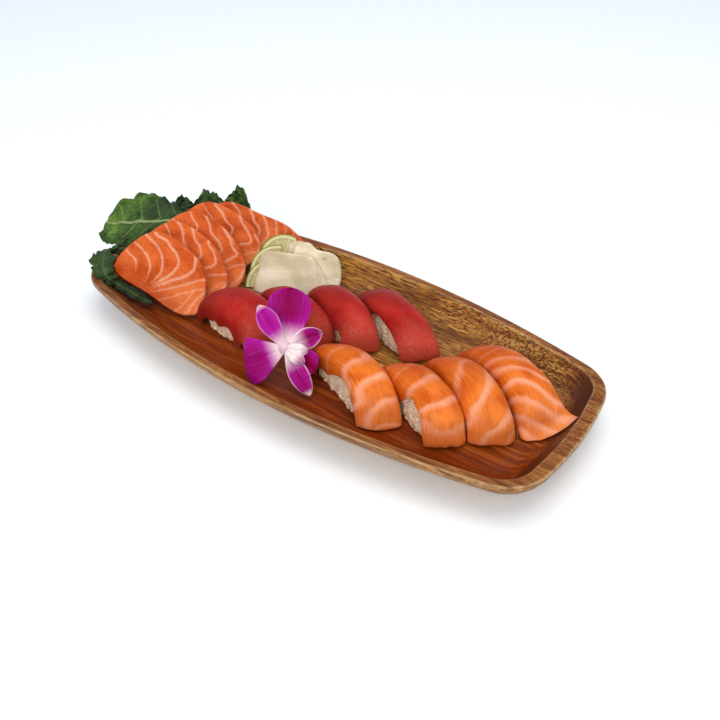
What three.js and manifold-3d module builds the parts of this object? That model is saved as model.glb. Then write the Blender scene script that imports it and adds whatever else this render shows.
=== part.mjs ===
// A long boat-shaped acacia platter served with sushi and sashimi: eight nigiri, a fan of sliced
// salmon, white fish, lime, kale leaves and one dendrobium flower. Millimetres, +Z up.
// The origin is the centre of the platter's underside. +X runs along the platter, +Y across it.
import * as THREE from "three";
import { mergeVertices } from "three/addons/utils/BufferGeometryUtils.js";
import Module from "manifold-3d";

const GAP = 0.35; // clearance left between pieces that touch

// ---------------------------------------------------------------- driving dimensions

const TRAY = {
  halfLength: 180,
  halfWidth: 79.7,
  endHalfWidth: 53.9, // where the bowed side would reach the end
  endBulge: 6.5,
  cornerRadius: 29.5,
  height: 26,
  floor: 10,
  sideRim: 5, // width of the flat rim along the sides
  endRim: 8, // and at the two ends
  toe: 28, // inset at which the wall has run out into the floor
  wallPower: 2.2,
};
const HULL = [
  // inset and height of the outside, from the foot up to the rim
  [26, 0],
  [15, 7],
  [7.5, 13],
  [3, 17.5],
  [0.9, 20.8],
  [0, 23.5],
  [0.1, 25.5],
];
const WELL_STEPS = [0, 0.1, 0.24, 0.42, 0.64, 1]; // stations down the inside wall

const ROUNDNESS = 2.5; // exponent of the rounded-block form of a nigiri
const FISH = {
  thickness: 6,
  side: 2.2, // thickness left at its long edges
  crown: 4, // exponent of its curve across the rice
  pull: 0.25, // share of that curve that also draws its ends back at the corners
};
const GRAIN = 1.3; // depth of the grain bumps on the rice

// Nigiri: centre, turn of the long axis, outer length, width and height over the fish, slant of
// the slice's ends, how far each end spreads on the floor, the bow of the axis, the shares of the
// rice's half width at which the slice's near and far edges lie, and how far its far corner trails.
const SALMON_NIGIRI = [
  {
    x: 46.6, y: -31.6, turn: -23, length: 72, width: 23.6, height: 28.5,
    skew: 0.5, spread: [0, 4], bow: -4, edges: [0.78, 0.95], tail: 0,
  },
  {
    x: 88.7, y: -22.7, turn: -27, length: 66, width: 23.4, height: 28.5,
    skew: 0.45, spread: [0, 2], bow: -3, edges: [0.78, 0.95], tail: 0,
  },
  {
    x: 109, y: -2, turn: -31, length: 71, width: 24, height: 28,
    skew: 0.4, spread: [0, 2], bow: -3, edges: [0.85, 0.92], tail: 0,
  },
  {
    x: 123, y: 22.6, turn: -23, length: 76, width: 25, height: 27,
    skew: 0.3, spread: [2, 9], bow: -4, edges: [0.9, 0.95], tail: 3.5,
  },
];
const TUNA_NIGIRI = [
  {
    x: -52.6, y: -23, turn: -5, length: 63, width: 29, height: 28,
    skew: 0.2, spread: [0, 2], bow: 0, edges: [0.98, 0.9], tail: 0,
  },
  {
    x: -27, y: 1, turn: -15, length: 64, width: 21.6, height: 25,
    skew: 0.3, spread: [0, 2], bow: 0, edges: [0.9, 0.9], tail: 0,
  },
  {
    x: 0.8, y: 17.4, turn: -26, length: 67, width: 23, height: 27,
    skew: 0.3, spread: [0, 2], bow: -1, edges: [0.9, 0.9], tail: 0,
  },
  {
    x: 31.5, y: 34.6, turn: -27, length: 74, width: 26.5, height: 24.5,
    skew: 0.3, spread: [0, 2], bow: 0, edges: [0.87, 0.9], tail: 0,
  },
];

// Sashimi: slices of one fillet, each leaning back on the next, from the near side to the far.
// All share the outline of their left part; the right end and the height differ.
const SLICE = { thickness: 8, lean: 45, pitch: 14, length: 77, thinning: 0.55 };
const SLICE_OUTLINE = [[45, 40], [17, 39], [5, 24], [2, 1], [36, -1]];
const SLICES = [
  { corner: [-159, -43, 30], turn: 3, rise: 1, end: [[66, 0], [76, 8], [72, 22], [63, 33]] },
  { corner: [-159, -26.5, 30], turn: 5, rise: 1, end: [[66, 0], [77, 8], [75, 22], [63, 33]] },
  { corner: [-159, -10, 30], turn: 7, rise: 1, end: [[66, 0], [77, 8], [75, 22], [63, 33]] },
  { corner: [-158, 7, 29], turn: 11, rise: 1, end: [[56, 0], [66, 9], [70.5, 21], [63, 33]] },
  { corner: [-150, 24, 27], turn: 18, rise: 0.88, end: [[72, 0], [96, 6], [92, 23], [70, 38]] },
];

// Three slabs of white fish that lean together: outlines in the plane of the front slab, and how
// far behind it each one's front face lies.
const WHITE_FISH = {
  corner: [-74, 16, 11],
  turn: 22,
  lean: 50,
  thickness: 4.4,
  slabs: [
    {
      back: 0,
      cut: [[-4, 0], [20, -1], [46, 1], [49, 8], [47, 13.5], [38, 27], [34, 29.6], [20, 30],
        [0, 29], [-3, 26], [-3, 14]],
    },
    {
      back: 5,
      cut: [[22, 6], [36, 5], [54, 7], [56.5, 15], [55, 26], [51, 33], [46, 35], [36, 36],
        [29, 40], [21, 38], [19, 24]],
    },
    { back: 10, cut: [[15, 27], [25, 26], [31, 30], [30, 37], [22, 41], [14, 38]] },
  ],
};

// Lime slices stand on a cut edge in front of one another, each one trimmed on its right.
const LIME = { corner: [-83.2, 17.5, 12.5], turn: 40, lean: 50, thickness: 2.6, sides: 24 };
const LIMES = [
  { back: 0.4, centre: [16, -2], radius: 20, foot: -2, limit: 19 },
  { back: 3.4, centre: [19.5, 8.6], radius: 20, foot: 1, limit: 23 },
  { back: 6.4, centre: [24.5, 18.5], radius: 18, foot: 5, limit: 34 },
];

const FLOWER = { centre: [2.8, -43.4, 33.5], azimuth: 36, elevation: 39, thickness: 1.4 };
// Petals by where their tips lie from the flower's centre, seen from the front: across, up and
// forward, with the width, how far the middle of the petal cups forward, and how blunt its tip is.
const PETALS = [
  { tip: [3, 37, -8], width: 27, cup: -3, blunt: 0.17 },
  { tip: [-24.2, -12.2, -3.4], width: 26.6, cup: 2, blunt: 0.26 },
  { tip: [-16, 26, 2], width: 13, cup: 2, blunt: 0.04 },
  { tip: [23, 10, 1], width: 13, cup: -2, blunt: 0.04 },
  { tip: [16, -29, 5], width: 12.5, cup: 2, blunt: 0.04 },
  { tip: [17, -14, 5], width: 15, cup: -3, blunt: 0.1 },
];

// Kale leaves: points of the rib, the reach to a margin at each of them, the ruffle and the lobes.
const KALE = [
  {
    name: "kale_leaf",
    rib: [[-159, 25, 39], [-180, 8, 38], [-201, -9.5, 36]],
    reach: [[-4, 12, 5.5], [-5.8, 20, 11], [-7.6, 26.8, 16.5]],
    ruffle: 2.5,
    waves: 5,
    lobes: { count: 4, depth: 0.08 },
    columns: 22,
  },
  {
    name: "kale_leaf_rear",
    rib: [[-178, 30, 36], [-168, 48, 35], [-152, 66, 34], [-133, 75, 34]],
    reach: [[-3, 4, 9], [-3, 4, 9], [-3, 4, 9], [-5, 5, 29]],
    ruffle: 3,
    waves: 6,
    lobes: { count: 3, depth: 0.85 },
    columns: 28,
  },
  {
    name: "kale_leaf_front",
    rib: [
      [-164, -20.5, 33], [-171.5, -33.5, 34], [-164, -44.5, 32], [-156, -49.5, 27],
      [-150, -46, 20.5], [-133, -45.5, 18], [-119, -43.5, 15.5],
    ],
    reach: [[-2, 3, 6], [6, 7, 3], [8, 6.3, 1], [5, 5, 2], [1, 4, 2], [1, 4, 2.5], [1, 4, 2.5]],
    ruffle: 2,
    waves: 9,
    lobes: { count: 8, depth: 0.3 },
    columns: 34,
  },
];
const LEAF_THICKNESS = 0.9;

// ---------------------------------------------------------------- closed meshes

// A closed solid from points and triangles, turned so that its faces point outwards.
function closed(points, faces) {
  let volume = 0;
  for (const [a, b, c] of faces) {
    volume += points[a].dot(new THREE.Vector3().crossVectors(points[b], points[c]));
  }
  const order = volume < 0 ? [0, 2, 1] : [0, 1, 2];
  const geometry = new THREE.BufferGeometry().setFromPoints(points);
  geometry.setIndex(faces.flatMap((face) => order.map((corner) => face[corner])));
  geometry.computeVertexNormals();
  return geometry;
}

// A skin through rings of equally many points, closed by a pole at each end.
function loft(rings, firstPole, lastPole) {
  const count = rings[0].length;
  const faces = [];
  for (let ring = 0; ring + 1 < rings.length; ring += 1) {
    for (let i = 0; i < count; i += 1) {
      const next = (i + 1) % count;
      const near = ring * count;
      const far = near + count;
      faces.push([near + i, near + next, far + i], [far + i, near + next, far + next]);
    }
  }
  const first = rings.length * count;
  for (let i = 0; i < count; i += 1) {
    const next = (i + 1) % count;
    faces.push([first, next, i], [first + 1, first - count + i, first - count + next]);
  }
  return closed([...rings.flat(), firstPole, lastPole], faces);
}

// A sheet between a lower and an upper surface over the unit square, both split alike.
function sheet(columns, rows, lower, upper) {
  const points = [];
  for (const surface of [lower, upper]) {
    for (let j = 0; j <= rows; j += 1) {
      for (let i = 0; i <= columns; i += 1) points.push(surface(i / columns, j / rows));
    }
  }
  const at = (i, j) => j * (columns + 1) + i;
  const top = at(0, rows + 1);
  const faces = [];
  for (let j = 0; j < rows; j += 1) {
    for (let i = 0; i < columns; i += 1) {
      const [a, b, c, d] = [at(i, j), at(i + 1, j), at(i + 1, j + 1), at(i, j + 1)];
      faces.push([top + a, top + b, top + c], [top + a, top + c, top + d]);
      faces.push([a, c, b], [a, d, c]);
    }
  }
  const wall = (p, q) => faces.push([top + q, top + p, p], [top + q, p, q]);
  for (let i = 0; i < columns; i += 1) {
    wall(at(i, 0), at(i + 1, 0));
    wall(at(i + 1, rows), at(i, rows));
  }
  for (let j = 0; j < rows; j += 1) {
    wall(at(columns, j), at(columns, j + 1));
    wall(at(0, j + 1), at(0, j));
  }
  return closed(points, faces);
}

// A flat piece cut to an outline, its front face at z = 0 and its rim eased, then bent by a rule.
function pad(outline, thickness, bend) {
  const centre = new THREE.Vector2();
  for (const point of outline) centre.addScaledVector(point, 1 / outline.length);
  const stations = [
    [0.5, -1],
    [0.94, -1],
    [1, -0.75],
    [1, -0.25],
    [0.94, 0],
    [0.5, 0],
  ];
  const place = (point, share, height) => {
    const flat = centre.clone().lerp(point, share);
    return bend(new THREE.Vector3(flat.x, flat.y, height * thickness));
  };
  const rings = stations.map(([share, height]) => outline.map((p) => place(p, share, height)));
  return loft(rings, place(centre, 0, -1), place(centre, 0, 0));
}

function smoothOutline(corners, count) {
  const curve = new THREE.CatmullRomCurve3(
    corners.map(([x, y]) => new THREE.Vector3(x, y, 0)),
    true,
  );
  const points = curve.getSpacedPoints(count);
  return points.slice(0, count).map((point) => new THREE.Vector2(point.x, point.y));
}

// ---------------------------------------------------------------- booleans

const wasm = await Module();
wasm.setup();

function toSolid(geometry) {
  const bare = new THREE.BufferGeometry();
  bare.setAttribute("position", geometry.getAttribute("position"));
  bare.setIndex(geometry.getIndex());
  const merged = mergeVertices(bare, 1e-4);
  const mesh = new wasm.Mesh({
    numProp: 3,
    vertProperties: merged.attributes.position.array,
    triVerts: new Uint32Array(merged.index.array),
  });
  return new wasm.Manifold(mesh);
}

function unite(geometries) {
  const [first, ...others] = geometries.map(toSolid);
  const mesh = others.reduce((sum, solid) => sum.add(solid), first).getMesh();
  const geometry = new THREE.BufferGeometry();
  geometry.setAttribute("position", new THREE.BufferAttribute(mesh.vertProperties, 3));
  geometry.setIndex(new THREE.BufferAttribute(mesh.triVerts, 1));
  geometry.computeVertexNormals();
  return geometry;
}

// ---------------------------------------------------------------- platter

function sideCurve(x) {
  const drop = TRAY.halfWidth - TRAY.endHalfWidth;
  const slope = (-2 * drop * x) / TRAY.halfLength ** 2;
  return {
    point: new THREE.Vector2(x, TRAY.halfWidth - drop * (x / TRAY.halfLength) ** 2),
    inward: new THREE.Vector2(slope, -1).normalize(),
  };
}

function endCurve(y) {
  const slope = (-2 * TRAY.endBulge * y) / TRAY.endHalfWidth ** 2;
  return {
    point: new THREE.Vector2(TRAY.halfLength - TRAY.endBulge * (y / TRAY.endHalfWidth) ** 2, y),
    inward: new THREE.Vector2(-1, slope).normalize(),
  };
}

// Centre of the arc that rounds the corner between a bowed side and a bowed end.
function cornerCentre() {
  const centre = new THREE.Vector2(
    TRAY.halfLength - TRAY.endBulge - TRAY.cornerRadius,
    TRAY.endHalfWidth - TRAY.cornerRadius,
  );
  const settlingPasses = 20;
  for (let pass = 0; pass < settlingPasses; pass += 1) {
    const side = sideCurve(centre.x);
    const end = endCurve(centre.y);
    const onSide = sideCurve(centre.x - TRAY.cornerRadius * side.inward.x);
    const onEnd = endCurve(centre.y - TRAY.cornerRadius * end.inward.y);
    centre.y = onSide.point.y + TRAY.cornerRadius * onSide.inward.y;
    centre.x = onEnd.point.x + TRAY.cornerRadius * onEnd.inward.x;
  }
  return centre;
}

// The outline, anticlockwise, as points with their inward normals and the width of the rim there.
function trayOutline() {
  const sideSteps = 8;
  const arcSteps = 6;
  const endSteps = 3;
  const centre = cornerCentre();
  const side = sideCurve(centre.x);
  const end = endCurve(centre.y);
  const sideReach = centre.x - TRAY.cornerRadius * side.inward.x;
  const endReach = centre.y - TRAY.cornerRadius * end.inward.y;
  const from = Math.atan2(-end.inward.y, -end.inward.x);
  const to = Math.atan2(-side.inward.y, -side.inward.x);
  const quarter = [];
  for (let i = 0; i < endSteps; i += 1) {
    quarter.push({ ...endCurve((endReach * i) / endSteps), rim: TRAY.endRim });
  }
  for (let i = 0; i <= arcSteps; i += 1) {
    const angle = from + ((to - from) * i) / arcSteps;
    const out = new THREE.Vector2(Math.cos(angle), Math.sin(angle));
    quarter.push({
      point: centre.clone().addScaledVector(out, TRAY.cornerRadius),
      inward: out.clone().negate(),
      rim: THREE.MathUtils.lerp(TRAY.endRim, TRAY.sideRim, i / arcSteps),
    });
  }
  for (let i = 1; i <= sideSteps; i += 1) {
    quarter.push({ ...sideCurve(sideReach * (1 - i / sideSteps)), rim: TRAY.sideRim });
  }
  const mirror = (list, sx, sy) =>
    list.map(({ point, inward, rim }) => ({
      point: new THREE.Vector2(point.x * sx, point.y * sy),
      inward: new THREE.Vector2(inward.x * sx, inward.y * sy),
      rim,
    }));
  const half = [...quarter.slice(0, -1), ...mirror(quarter, -1, 1).reverse().slice(0, -1)];
  return [...half, ...mirror(half, -1, -1)];
}

const outline = trayOutline();

// Share of the wall's height that is left at a given inset, straight between the stations.
function wallShare(inset, rim) {
  const down = THREE.MathUtils.clamp((inset - rim) / (TRAY.toe - rim), 0, 1);
  const next = Math.max(1, WELL_STEPS.findIndex((step) => step >= down));
  const [from, to] = [WELL_STEPS[next - 1], WELL_STEPS[next]];
  const [high, low] = [from, to].map((step) => (1 - step) ** TRAY.wallPower);
  return THREE.MathUtils.mapLinear(down, from, to, high, low);
}

// Height of the platter's upper surface at a place, level with the rim outside the well.
function wellHeight(x, y) {
  let inset = Infinity;
  let rim = TRAY.sideRim;
  for (const station of outline) {
    const distance =
      (x - station.point.x) * station.inward.x + (y - station.point.y) * station.inward.y;
    if (distance < inset) {
      inset = distance;
      rim = station.rim;
    }
  }
  return TRAY.floor + (TRAY.height - TRAY.floor) * wallShare(inset, rim);
}

function trayGeometry() {
  const ring = (insetAt, height) =>
    outline.map((station) => {
      const point = station.point.clone().addScaledVector(station.inward, insetAt(station));
      return new THREE.Vector3(point.x, point.y, height);
    });
  const arris = 0.7; // rounding of the rim's two edges
  const rings = HULL.map(([inset, height]) => ring(() => inset, height));
  rings.push(ring(() => arris, TRAY.height));
  rings.push(ring((station) => station.rim - arris, TRAY.height));
  for (const down of WELL_STEPS) {
    const share = (1 - down) ** TRAY.wallPower;
    const drop = down === 0 ? arris / 2 : 0;
    const height = TRAY.floor + (TRAY.height - TRAY.floor) * share - drop;
    rings.push(ring((station) => THREE.MathUtils.lerp(station.rim, TRAY.toe, down), height));
  }
  return loft(rings, new THREE.Vector3(0, 0, 0), new THREE.Vector3(0, 0, TRAY.floor));
}

// ---------------------------------------------------------------- nigiri

// Share of the height that a rounded block keeps at a share of its half width.
function roundedShare(share, power = ROUNDNESS) {
  return Math.max(0, 1 - Math.abs(share) ** power) ** (1 / power);
}

// Turns a point of the straight block into the slanted, bowed one.
function slant(point, nigiri, half) {
  const along = point.x / half;
  point.x += nigiri.skew * point.y;
  point.y += nigiri.bow * (along * along - 0.5);
  return point;
}

// Carries a local point of a nigiri onto the platter's surface below it.
function rest(point, group) {
  const place = point.clone().applyMatrix4(group.matrixWorld);
  point.z += wellHeight(place.x, place.y) + GAP;
  return point;
}

// The slice of fish that drapes over the rice from one end to the other.
function fishGeometry(nigiri, group) {
  const half = nigiri.length / 2 - FISH.thickness;
  const side = nigiri.width / 2;
  const height = nigiri.height - FISH.thickness;
  const turn = 2 / ROUNDNESS;
  const reach = THREE.MathUtils.degToRad(89);
  const surface = (s, t, lift) => {
    const angle = THREE.MathUtils.lerp(-reach, reach, s);
    const across = 2 * t - 1;
    const y = THREE.MathUtils.lerp(-nigiri.edges[0], nigiri.edges[1], t);
    const spine = new THREE.Vector3(
      half * Math.sign(angle) * Math.abs(Math.sin(angle)) ** turn,
      0,
      height * Math.cos(angle) ** turn,
    );
    const normal = new THREE.Vector3(
      (Math.sign(spine.x) * Math.abs(spine.x / half) ** (ROUNDNESS - 1)) / half,
      0,
      (spine.z / height) ** (ROUNDNESS - 1) / height,
    ).normalize();
    const kept = roundedShare(y, FISH.crown);
    const steepness = (Math.abs(y) / kept) ** (FISH.crown - 1);
    const slope = (Math.sign(y) * height * steepness) / side;
    const outward = normal.clone().add(new THREE.Vector3(0, slope, 0)).normalize();
    const thin = 1 - 0.35 * Math.abs(2 * s - 1) ** 8;
    const thickness = THREE.MathUtils.lerp(FISH.thickness * thin, FISH.side, Math.abs(across) ** 2.5);
    const drop = new THREE.Vector3(normal.x * FISH.pull, 0, normal.z);
    const point = spine.addScaledVector(drop, -height * (1 - kept));
    point.y = y * side;
    point.addScaledVector(outward, lift * thickness);
    point.z = Math.max(point.z, 0);
    const splay = nigiri.spread[s < 0.5 ? 0 : 1] * Math.max(0, 1 - point.z / 10) ** 2;
    const trail = nigiri.tail * s ** 8 * t ** 3;
    point.add(new THREE.Vector3(splay * Math.sign(angle) + trail, trail, 0));
    return rest(slant(point, nigiri, half), group);
  };
  return sheet(12, 6, (s, t) => surface(s, t, 0), (s, t) => surface(s, t, 1));
}

// The pressed rice: a rounded block that fits under the slice, covered in grain-sized bumps.
function riceGeometry(nigiri, group, random) {
  const half = nigiri.length / 2 - FISH.thickness;
  const room = 0.7;
  const size = [half - room, nigiri.width / 2 - room, nigiri.height - FISH.thickness - room];
  const around = 24;
  const levels = [0, 0.22, 0.44, 0.66, 0.86];
  const turn = 2 / ROUNDNESS;
  const tuck = 0.94; // the block draws in at its foot
  const rings = levels.map((level) => {
    const share = roundedShare(level) * (level === 0 ? tuck : 1);
    return Array.from({ length: around }, (_, i) => {
      const angle = (2 * Math.PI * i) / around;
      const [c, s] = [Math.cos(angle), Math.sin(angle)];
      const bump = GRAIN * random();
      const point = new THREE.Vector3(
        (size[0] * share - bump) * Math.sign(c) * Math.abs(c) ** turn,
        (size[1] * share - bump) * Math.sign(s) * Math.abs(s) ** turn,
        size[2] * level,
      );
      return rest(slant(point, nigiri, half), group);
    });
  });
  const foot = rest(slant(new THREE.Vector3(0, 0, 0), nigiri, half), group);
  const crown = rest(slant(new THREE.Vector3(0, 0, size[2]), nigiri, half), group);
  return loft(rings, foot, crown);
}

// ---------------------------------------------------------------- leaning slices

// Lifts any point of a leaning piece that would sink into the platter.
function settle(point, group) {
  const place = point.clone().applyMatrix4(group.matrixWorld);
  place.z = Math.max(place.z, wellHeight(place.x, place.y) + GAP);
  return place.applyMatrix4(group.matrixWorld.clone().invert());
}

function leaningGroup(corner, turn, pitch, lean) {
  const group = new THREE.Group();
  group.position.set(...corner);
  group.rotation.set(
    THREE.MathUtils.degToRad(lean),
    THREE.MathUtils.degToRad(pitch),
    THREE.MathUtils.degToRad(turn),
    "ZYX",
  );
  group.updateMatrixWorld();
  return group;
}

// ---------------------------------------------------------------- leaves and petals

// A thin ruffled leaf along a rib, its margins waving more than its middle, lying over the rim.
function leafGeometry({ rib, reach, ruffle, waves, lobes, columns }) {
  const path = (points) => new THREE.CatmullRomCurve3(points.map((p) => new THREE.Vector3(...p)));
  const middle = path(rib);
  const margin = path(reach);
  const clear = 1.2; // room over the platter, so that the leaf's flat facets pass above the rim
  const surface = (u, v, side) => {
    const share = 2 * v - 1;
    const across = margin.getPoint(u);
    const taper = Math.sin(Math.PI * THREE.MathUtils.lerp(0.12, 0.93, u)) ** 0.6;
    const lobe = 1 - (lobes.depth / 2) * (1 + Math.cos(2 * Math.PI * lobes.count * u));
    const point = middle.getPoint(u).addScaledVector(across, share * taper * lobe);
    const normal = middle.getTangent(u).cross(across).normalize();
    const wave = Math.sin(2 * Math.PI * waves * u + 1.3 * share);
    point.addScaledVector(normal, ruffle * share * share * wave);
    point.z = Math.max(point.z, wellHeight(point.x, point.y) + clear);
    return point.addScaledVector(normal, (side * LEAF_THICKNESS) / 2);
  };
  return sheet(columns, 6, (u, v) => surface(u, v, -1), (u, v) => surface(u, v, 1));
}

// A petal from the flower's centre to its tip, broadest past its middle.
function petalGeometry({ tip, width, cup, blunt }) {
  const end = new THREE.Vector3(...tip);
  const forward = new THREE.Vector3(0, 0, 1);
  const side = new THREE.Vector3().crossVectors(forward, end).normalize();
  const face = new THREE.Vector3().crossVectors(end, side).normalize();
  const surface = (u, v, layer) => {
    const share = 2 * v - 1;
    const half = (width / 2) * (0.12 + 0.88 * Math.sin(Math.PI * u ** 1.3 * (1 - blunt)) ** 0.8);
    const point = end.clone().multiplyScalar(u).addScaledVector(side, share * half);
    const rise = cup * (Math.sin(Math.PI * u) - share * share * 0.6 * u);
    return point.addScaledVector(face, rise + layer * FLOWER.thickness);
  };
  return sheet(6, 4, (u, v) => surface(u, v, 0), (u, v) => surface(u, v, 1));
}

// ---------------------------------------------------------------- materials and assembly

const MATERIALS = {
  wood: new THREE.MeshStandardMaterial({ color: 0x8c5a30, roughness: 0.45, metalness: 0 }),
  rice: new THREE.MeshStandardMaterial({ color: 0xe6dfd0, roughness: 0.5, metalness: 0 }),
  salmon: new THREE.MeshStandardMaterial({ color: 0xe2702e, roughness: 0.35, metalness: 0 }),
  tuna: new THREE.MeshStandardMaterial({ color: 0xa5261f, roughness: 0.35, metalness: 0 }),
  whiteFish: new THREE.MeshStandardMaterial({ color: 0xdcccb0, roughness: 0.4, metalness: 0 }),
  lime: new THREE.MeshStandardMaterial({ color: 0xb8bf5a, roughness: 0.4, metalness: 0 }),
  kale: new THREE.MeshStandardMaterial({ color: 0x3f5a2c, roughness: 0.6, metalness: 0 }),
  orchid: new THREE.MeshStandardMaterial({ color: 0xa8248a, roughness: 0.5, metalness: 0 }),
};

// A repeatable stream of values from 0 to 1.
function seeded(seed) {
  let state = seed;
  return () => {
    state = (state * 1664525 + 1013904223) % 4294967296;
    return state / 4294967296;
  };
}

function add(parent, name, geometry, material) {
  const mesh = new THREE.Mesh(geometry, material);
  mesh.name = name;
  parent.add(mesh);
}

function addNigiri(parent, name, nigiri, fishMaterial, random) {
  const group = new THREE.Group();
  group.position.set(nigiri.x, nigiri.y, 0);
  group.rotation.z = THREE.MathUtils.degToRad(nigiri.turn);
  group.updateMatrixWorld();
  add(group, `${name}_rice`, riceGeometry(nigiri, group, random), MATERIALS.rice);
  add(group, `${name}_fish`, fishGeometry(nigiri, group), fishMaterial);
  parent.add(group);
}

function addSashimi(parent) {
  SLICES.forEach(({ corner, turn, rise, end }, index) => {
    const group = leaningGroup(corner, turn, SLICE.pitch, SLICE.lean);
    const cut = smoothOutline([...SLICE_OUTLINE, ...end], 22);
    for (const point of cut) point.y *= rise;
    const place = (point) => {
      point.z *= 1 - SLICE.thinning * (point.x / SLICE.length) ** 2;
      return settle(point, group);
    };
    add(group, `salmon_slice_${index + 1}`, pad(cut, SLICE.thickness, place), MATERIALS.salmon);
    parent.add(group);
  });
}

function addWhiteFish(parent) {
  const group = leaningGroup(WHITE_FISH.corner, WHITE_FISH.turn, 0, WHITE_FISH.lean);
  WHITE_FISH.slabs.forEach(({ back, cut }, index) => {
    const place = (point) => settle(point.setZ(point.z - back), group);
    const geometry = pad(smoothOutline(cut, 20), WHITE_FISH.thickness, place);
    add(group, `white_fish_${index + 1}`, geometry, MATERIALS.whiteFish);
  });
  parent.add(group);
}

function addLime(parent) {
  const group = leaningGroup(LIME.corner, LIME.turn, 0, LIME.lean);
  LIMES.forEach(({ back, centre, radius, foot, limit }, index) => {
    const cut = Array.from({ length: LIME.sides }, (_, i) => {
      const angle = (2 * Math.PI * (i + 0.5)) / LIME.sides;
      const x = Math.min(centre[0] + radius * Math.cos(angle), limit);
      const y = Math.max(centre[1] + radius * Math.sin(angle), foot);
      return new THREE.Vector2(x, y);
    });
    const place = (point) => settle(point.setZ(point.z - back), group);
    add(group, `lime_slice_${index + 1}`, pad(cut, LIME.thickness, place), MATERIALS.lime);
  });
  parent.add(group);
}

function addKale(parent) {
  for (const leaf of KALE) add(parent, leaf.name, leafGeometry(leaf), MATERIALS.kale);
}

function addFlower(parent) {
  const group = new THREE.Group();
  group.position.set(...FLOWER.centre);
  group.rotation.set(
    THREE.MathUtils.degToRad(90 - FLOWER.elevation),
    0,
    THREE.MathUtils.degToRad(FLOWER.azimuth),
    "ZYX",
  );
  group.updateMatrixWorld();
  const column = new THREE.SphereGeometry(4.5, 10, 6);
  const flower = unite([column, ...PETALS.map(petalGeometry)]);
  add(group, "orchid_flower", flower, MATERIALS.orchid);
  parent.add(group);
}

const group = new THREE.Group();
const random = seeded(17);
add(group, "tray", trayGeometry(), MATERIALS.wood);
addKale(group);
addSashimi(group);
addLime(group);
addWhiteFish(group);
TUNA_NIGIRI.forEach((nigiri, index) => {
  addNigiri(group, `tuna_nigiri_${index + 1}`, nigiri, MATERIALS.tuna, random);
});
SALMON_NIGIRI.forEach((nigiri, index) => {
  addNigiri(group, `salmon_nigiri_${index + 1}`, nigiri, MATERIALS.salmon, random);
});
addFlower(group);

export default group;
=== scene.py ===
# %% [markdown]
# # A sashimi platter
# A long acacia platter carries eight nigiri, a fan of sliced salmon, white fish, lime, kale and
# an orchid flower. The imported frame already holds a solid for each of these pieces, in its true
# size and place. This lesson gives every piece its fine shape and its finish, where the solid is.

import math

import bpy
import numpy as np
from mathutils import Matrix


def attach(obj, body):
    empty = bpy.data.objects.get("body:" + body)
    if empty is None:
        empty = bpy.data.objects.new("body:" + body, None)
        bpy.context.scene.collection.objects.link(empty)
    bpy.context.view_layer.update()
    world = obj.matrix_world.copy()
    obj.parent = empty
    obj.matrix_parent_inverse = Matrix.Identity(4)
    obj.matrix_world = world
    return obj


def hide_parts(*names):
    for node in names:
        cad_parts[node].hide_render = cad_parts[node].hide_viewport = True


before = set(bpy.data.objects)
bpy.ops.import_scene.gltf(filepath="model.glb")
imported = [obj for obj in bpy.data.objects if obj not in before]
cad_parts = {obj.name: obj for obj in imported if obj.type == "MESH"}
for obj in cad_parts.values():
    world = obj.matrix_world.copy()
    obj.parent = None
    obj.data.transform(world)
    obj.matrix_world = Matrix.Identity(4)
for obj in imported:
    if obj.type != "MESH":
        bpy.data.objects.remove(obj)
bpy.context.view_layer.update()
MM = 0.001  # the shapes below are worked out in millimetres
print("frame:", len(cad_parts), "solids")

# %% [markdown]
# ## Colours and nodes
# Colours are picked on a screen as sRGB hex codes, but a shader adds light in linear values, so
# one function turns them over. A material is a graph of nodes, and each node needs the same
# three things: its settings, the values or links that feed it, and the stops of a colour ramp.
# One small helper that does this for any kind of node keeps every finish short to read. What
# all finishes share, patterns in millimetres and coats of colour, has a function each.


# %% Colours
def linear(code):
    """The linear colour that a shader needs for an sRGB hex code."""
    parts = [int(code[i : i + 2], 16) / 255 for i in (1, 3, 5)]
    return [p / 12.92 if p <= 0.04045 else ((p + 0.055) / 1.055) ** 2.4 for p in parts] + [1.0]


print("mid grey is", round(linear("#808080")[0], 3), "in linear light")


# %% One helper for every node
def feed(tree, node, feeds):
    """Sets or links inputs by name or number: a node stands for its first output in use."""
    for key, value in feeds.items():
        named = [s for s in node.inputs if s.name == key and s.enabled]
        socket = node.inputs[key] if isinstance(key, int) else named[0]
        if isinstance(value, bpy.types.Node):
            value = next(s for s in value.outputs if s.enabled)
        if isinstance(value, bpy.types.NodeSocket):
            tree.links.new(value, socket)
        else:
            socket.default_value = value


def add_node(tree, kind, feeds=None, stops=None, **settings):
    """Adds a shader node with its settings, its inputs and the stops of its ramp."""
    node = tree.nodes.new("ShaderNode" + kind)
    for name, value in settings.items():
        setattr(node, name, value)
    if stops:
        ramp = node.color_ramp.elements
        while len(ramp) < len(stops):
            ramp.new(1.0)
        for element, (place, colour) in zip(ramp, stops):
            element.position = place
            element.color = linear(colour) if isinstance(colour, str) else [colour] * 3 + [1.0]
    feed(tree, node, feeds or {})
    return node


SHADER = "Principled BSDF"


def start_finish(name, values):
    """A material whose even values sit on the shader's own sockets."""
    material = bpy.data.materials.new(name)
    material.use_nodes = True
    tree = material.node_tree
    feed(tree, tree.nodes[SHADER], values)
    return material, tree


def cells(x, y, z):
    """The scale that makes one cell of a pattern x by y by z millimetres."""
    return (1 / x, 1 / y, 1 / z)


print("a fibre 8 mm long and 0.5 mm wide has scale", cells(8, 0.5, 0.5))


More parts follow.
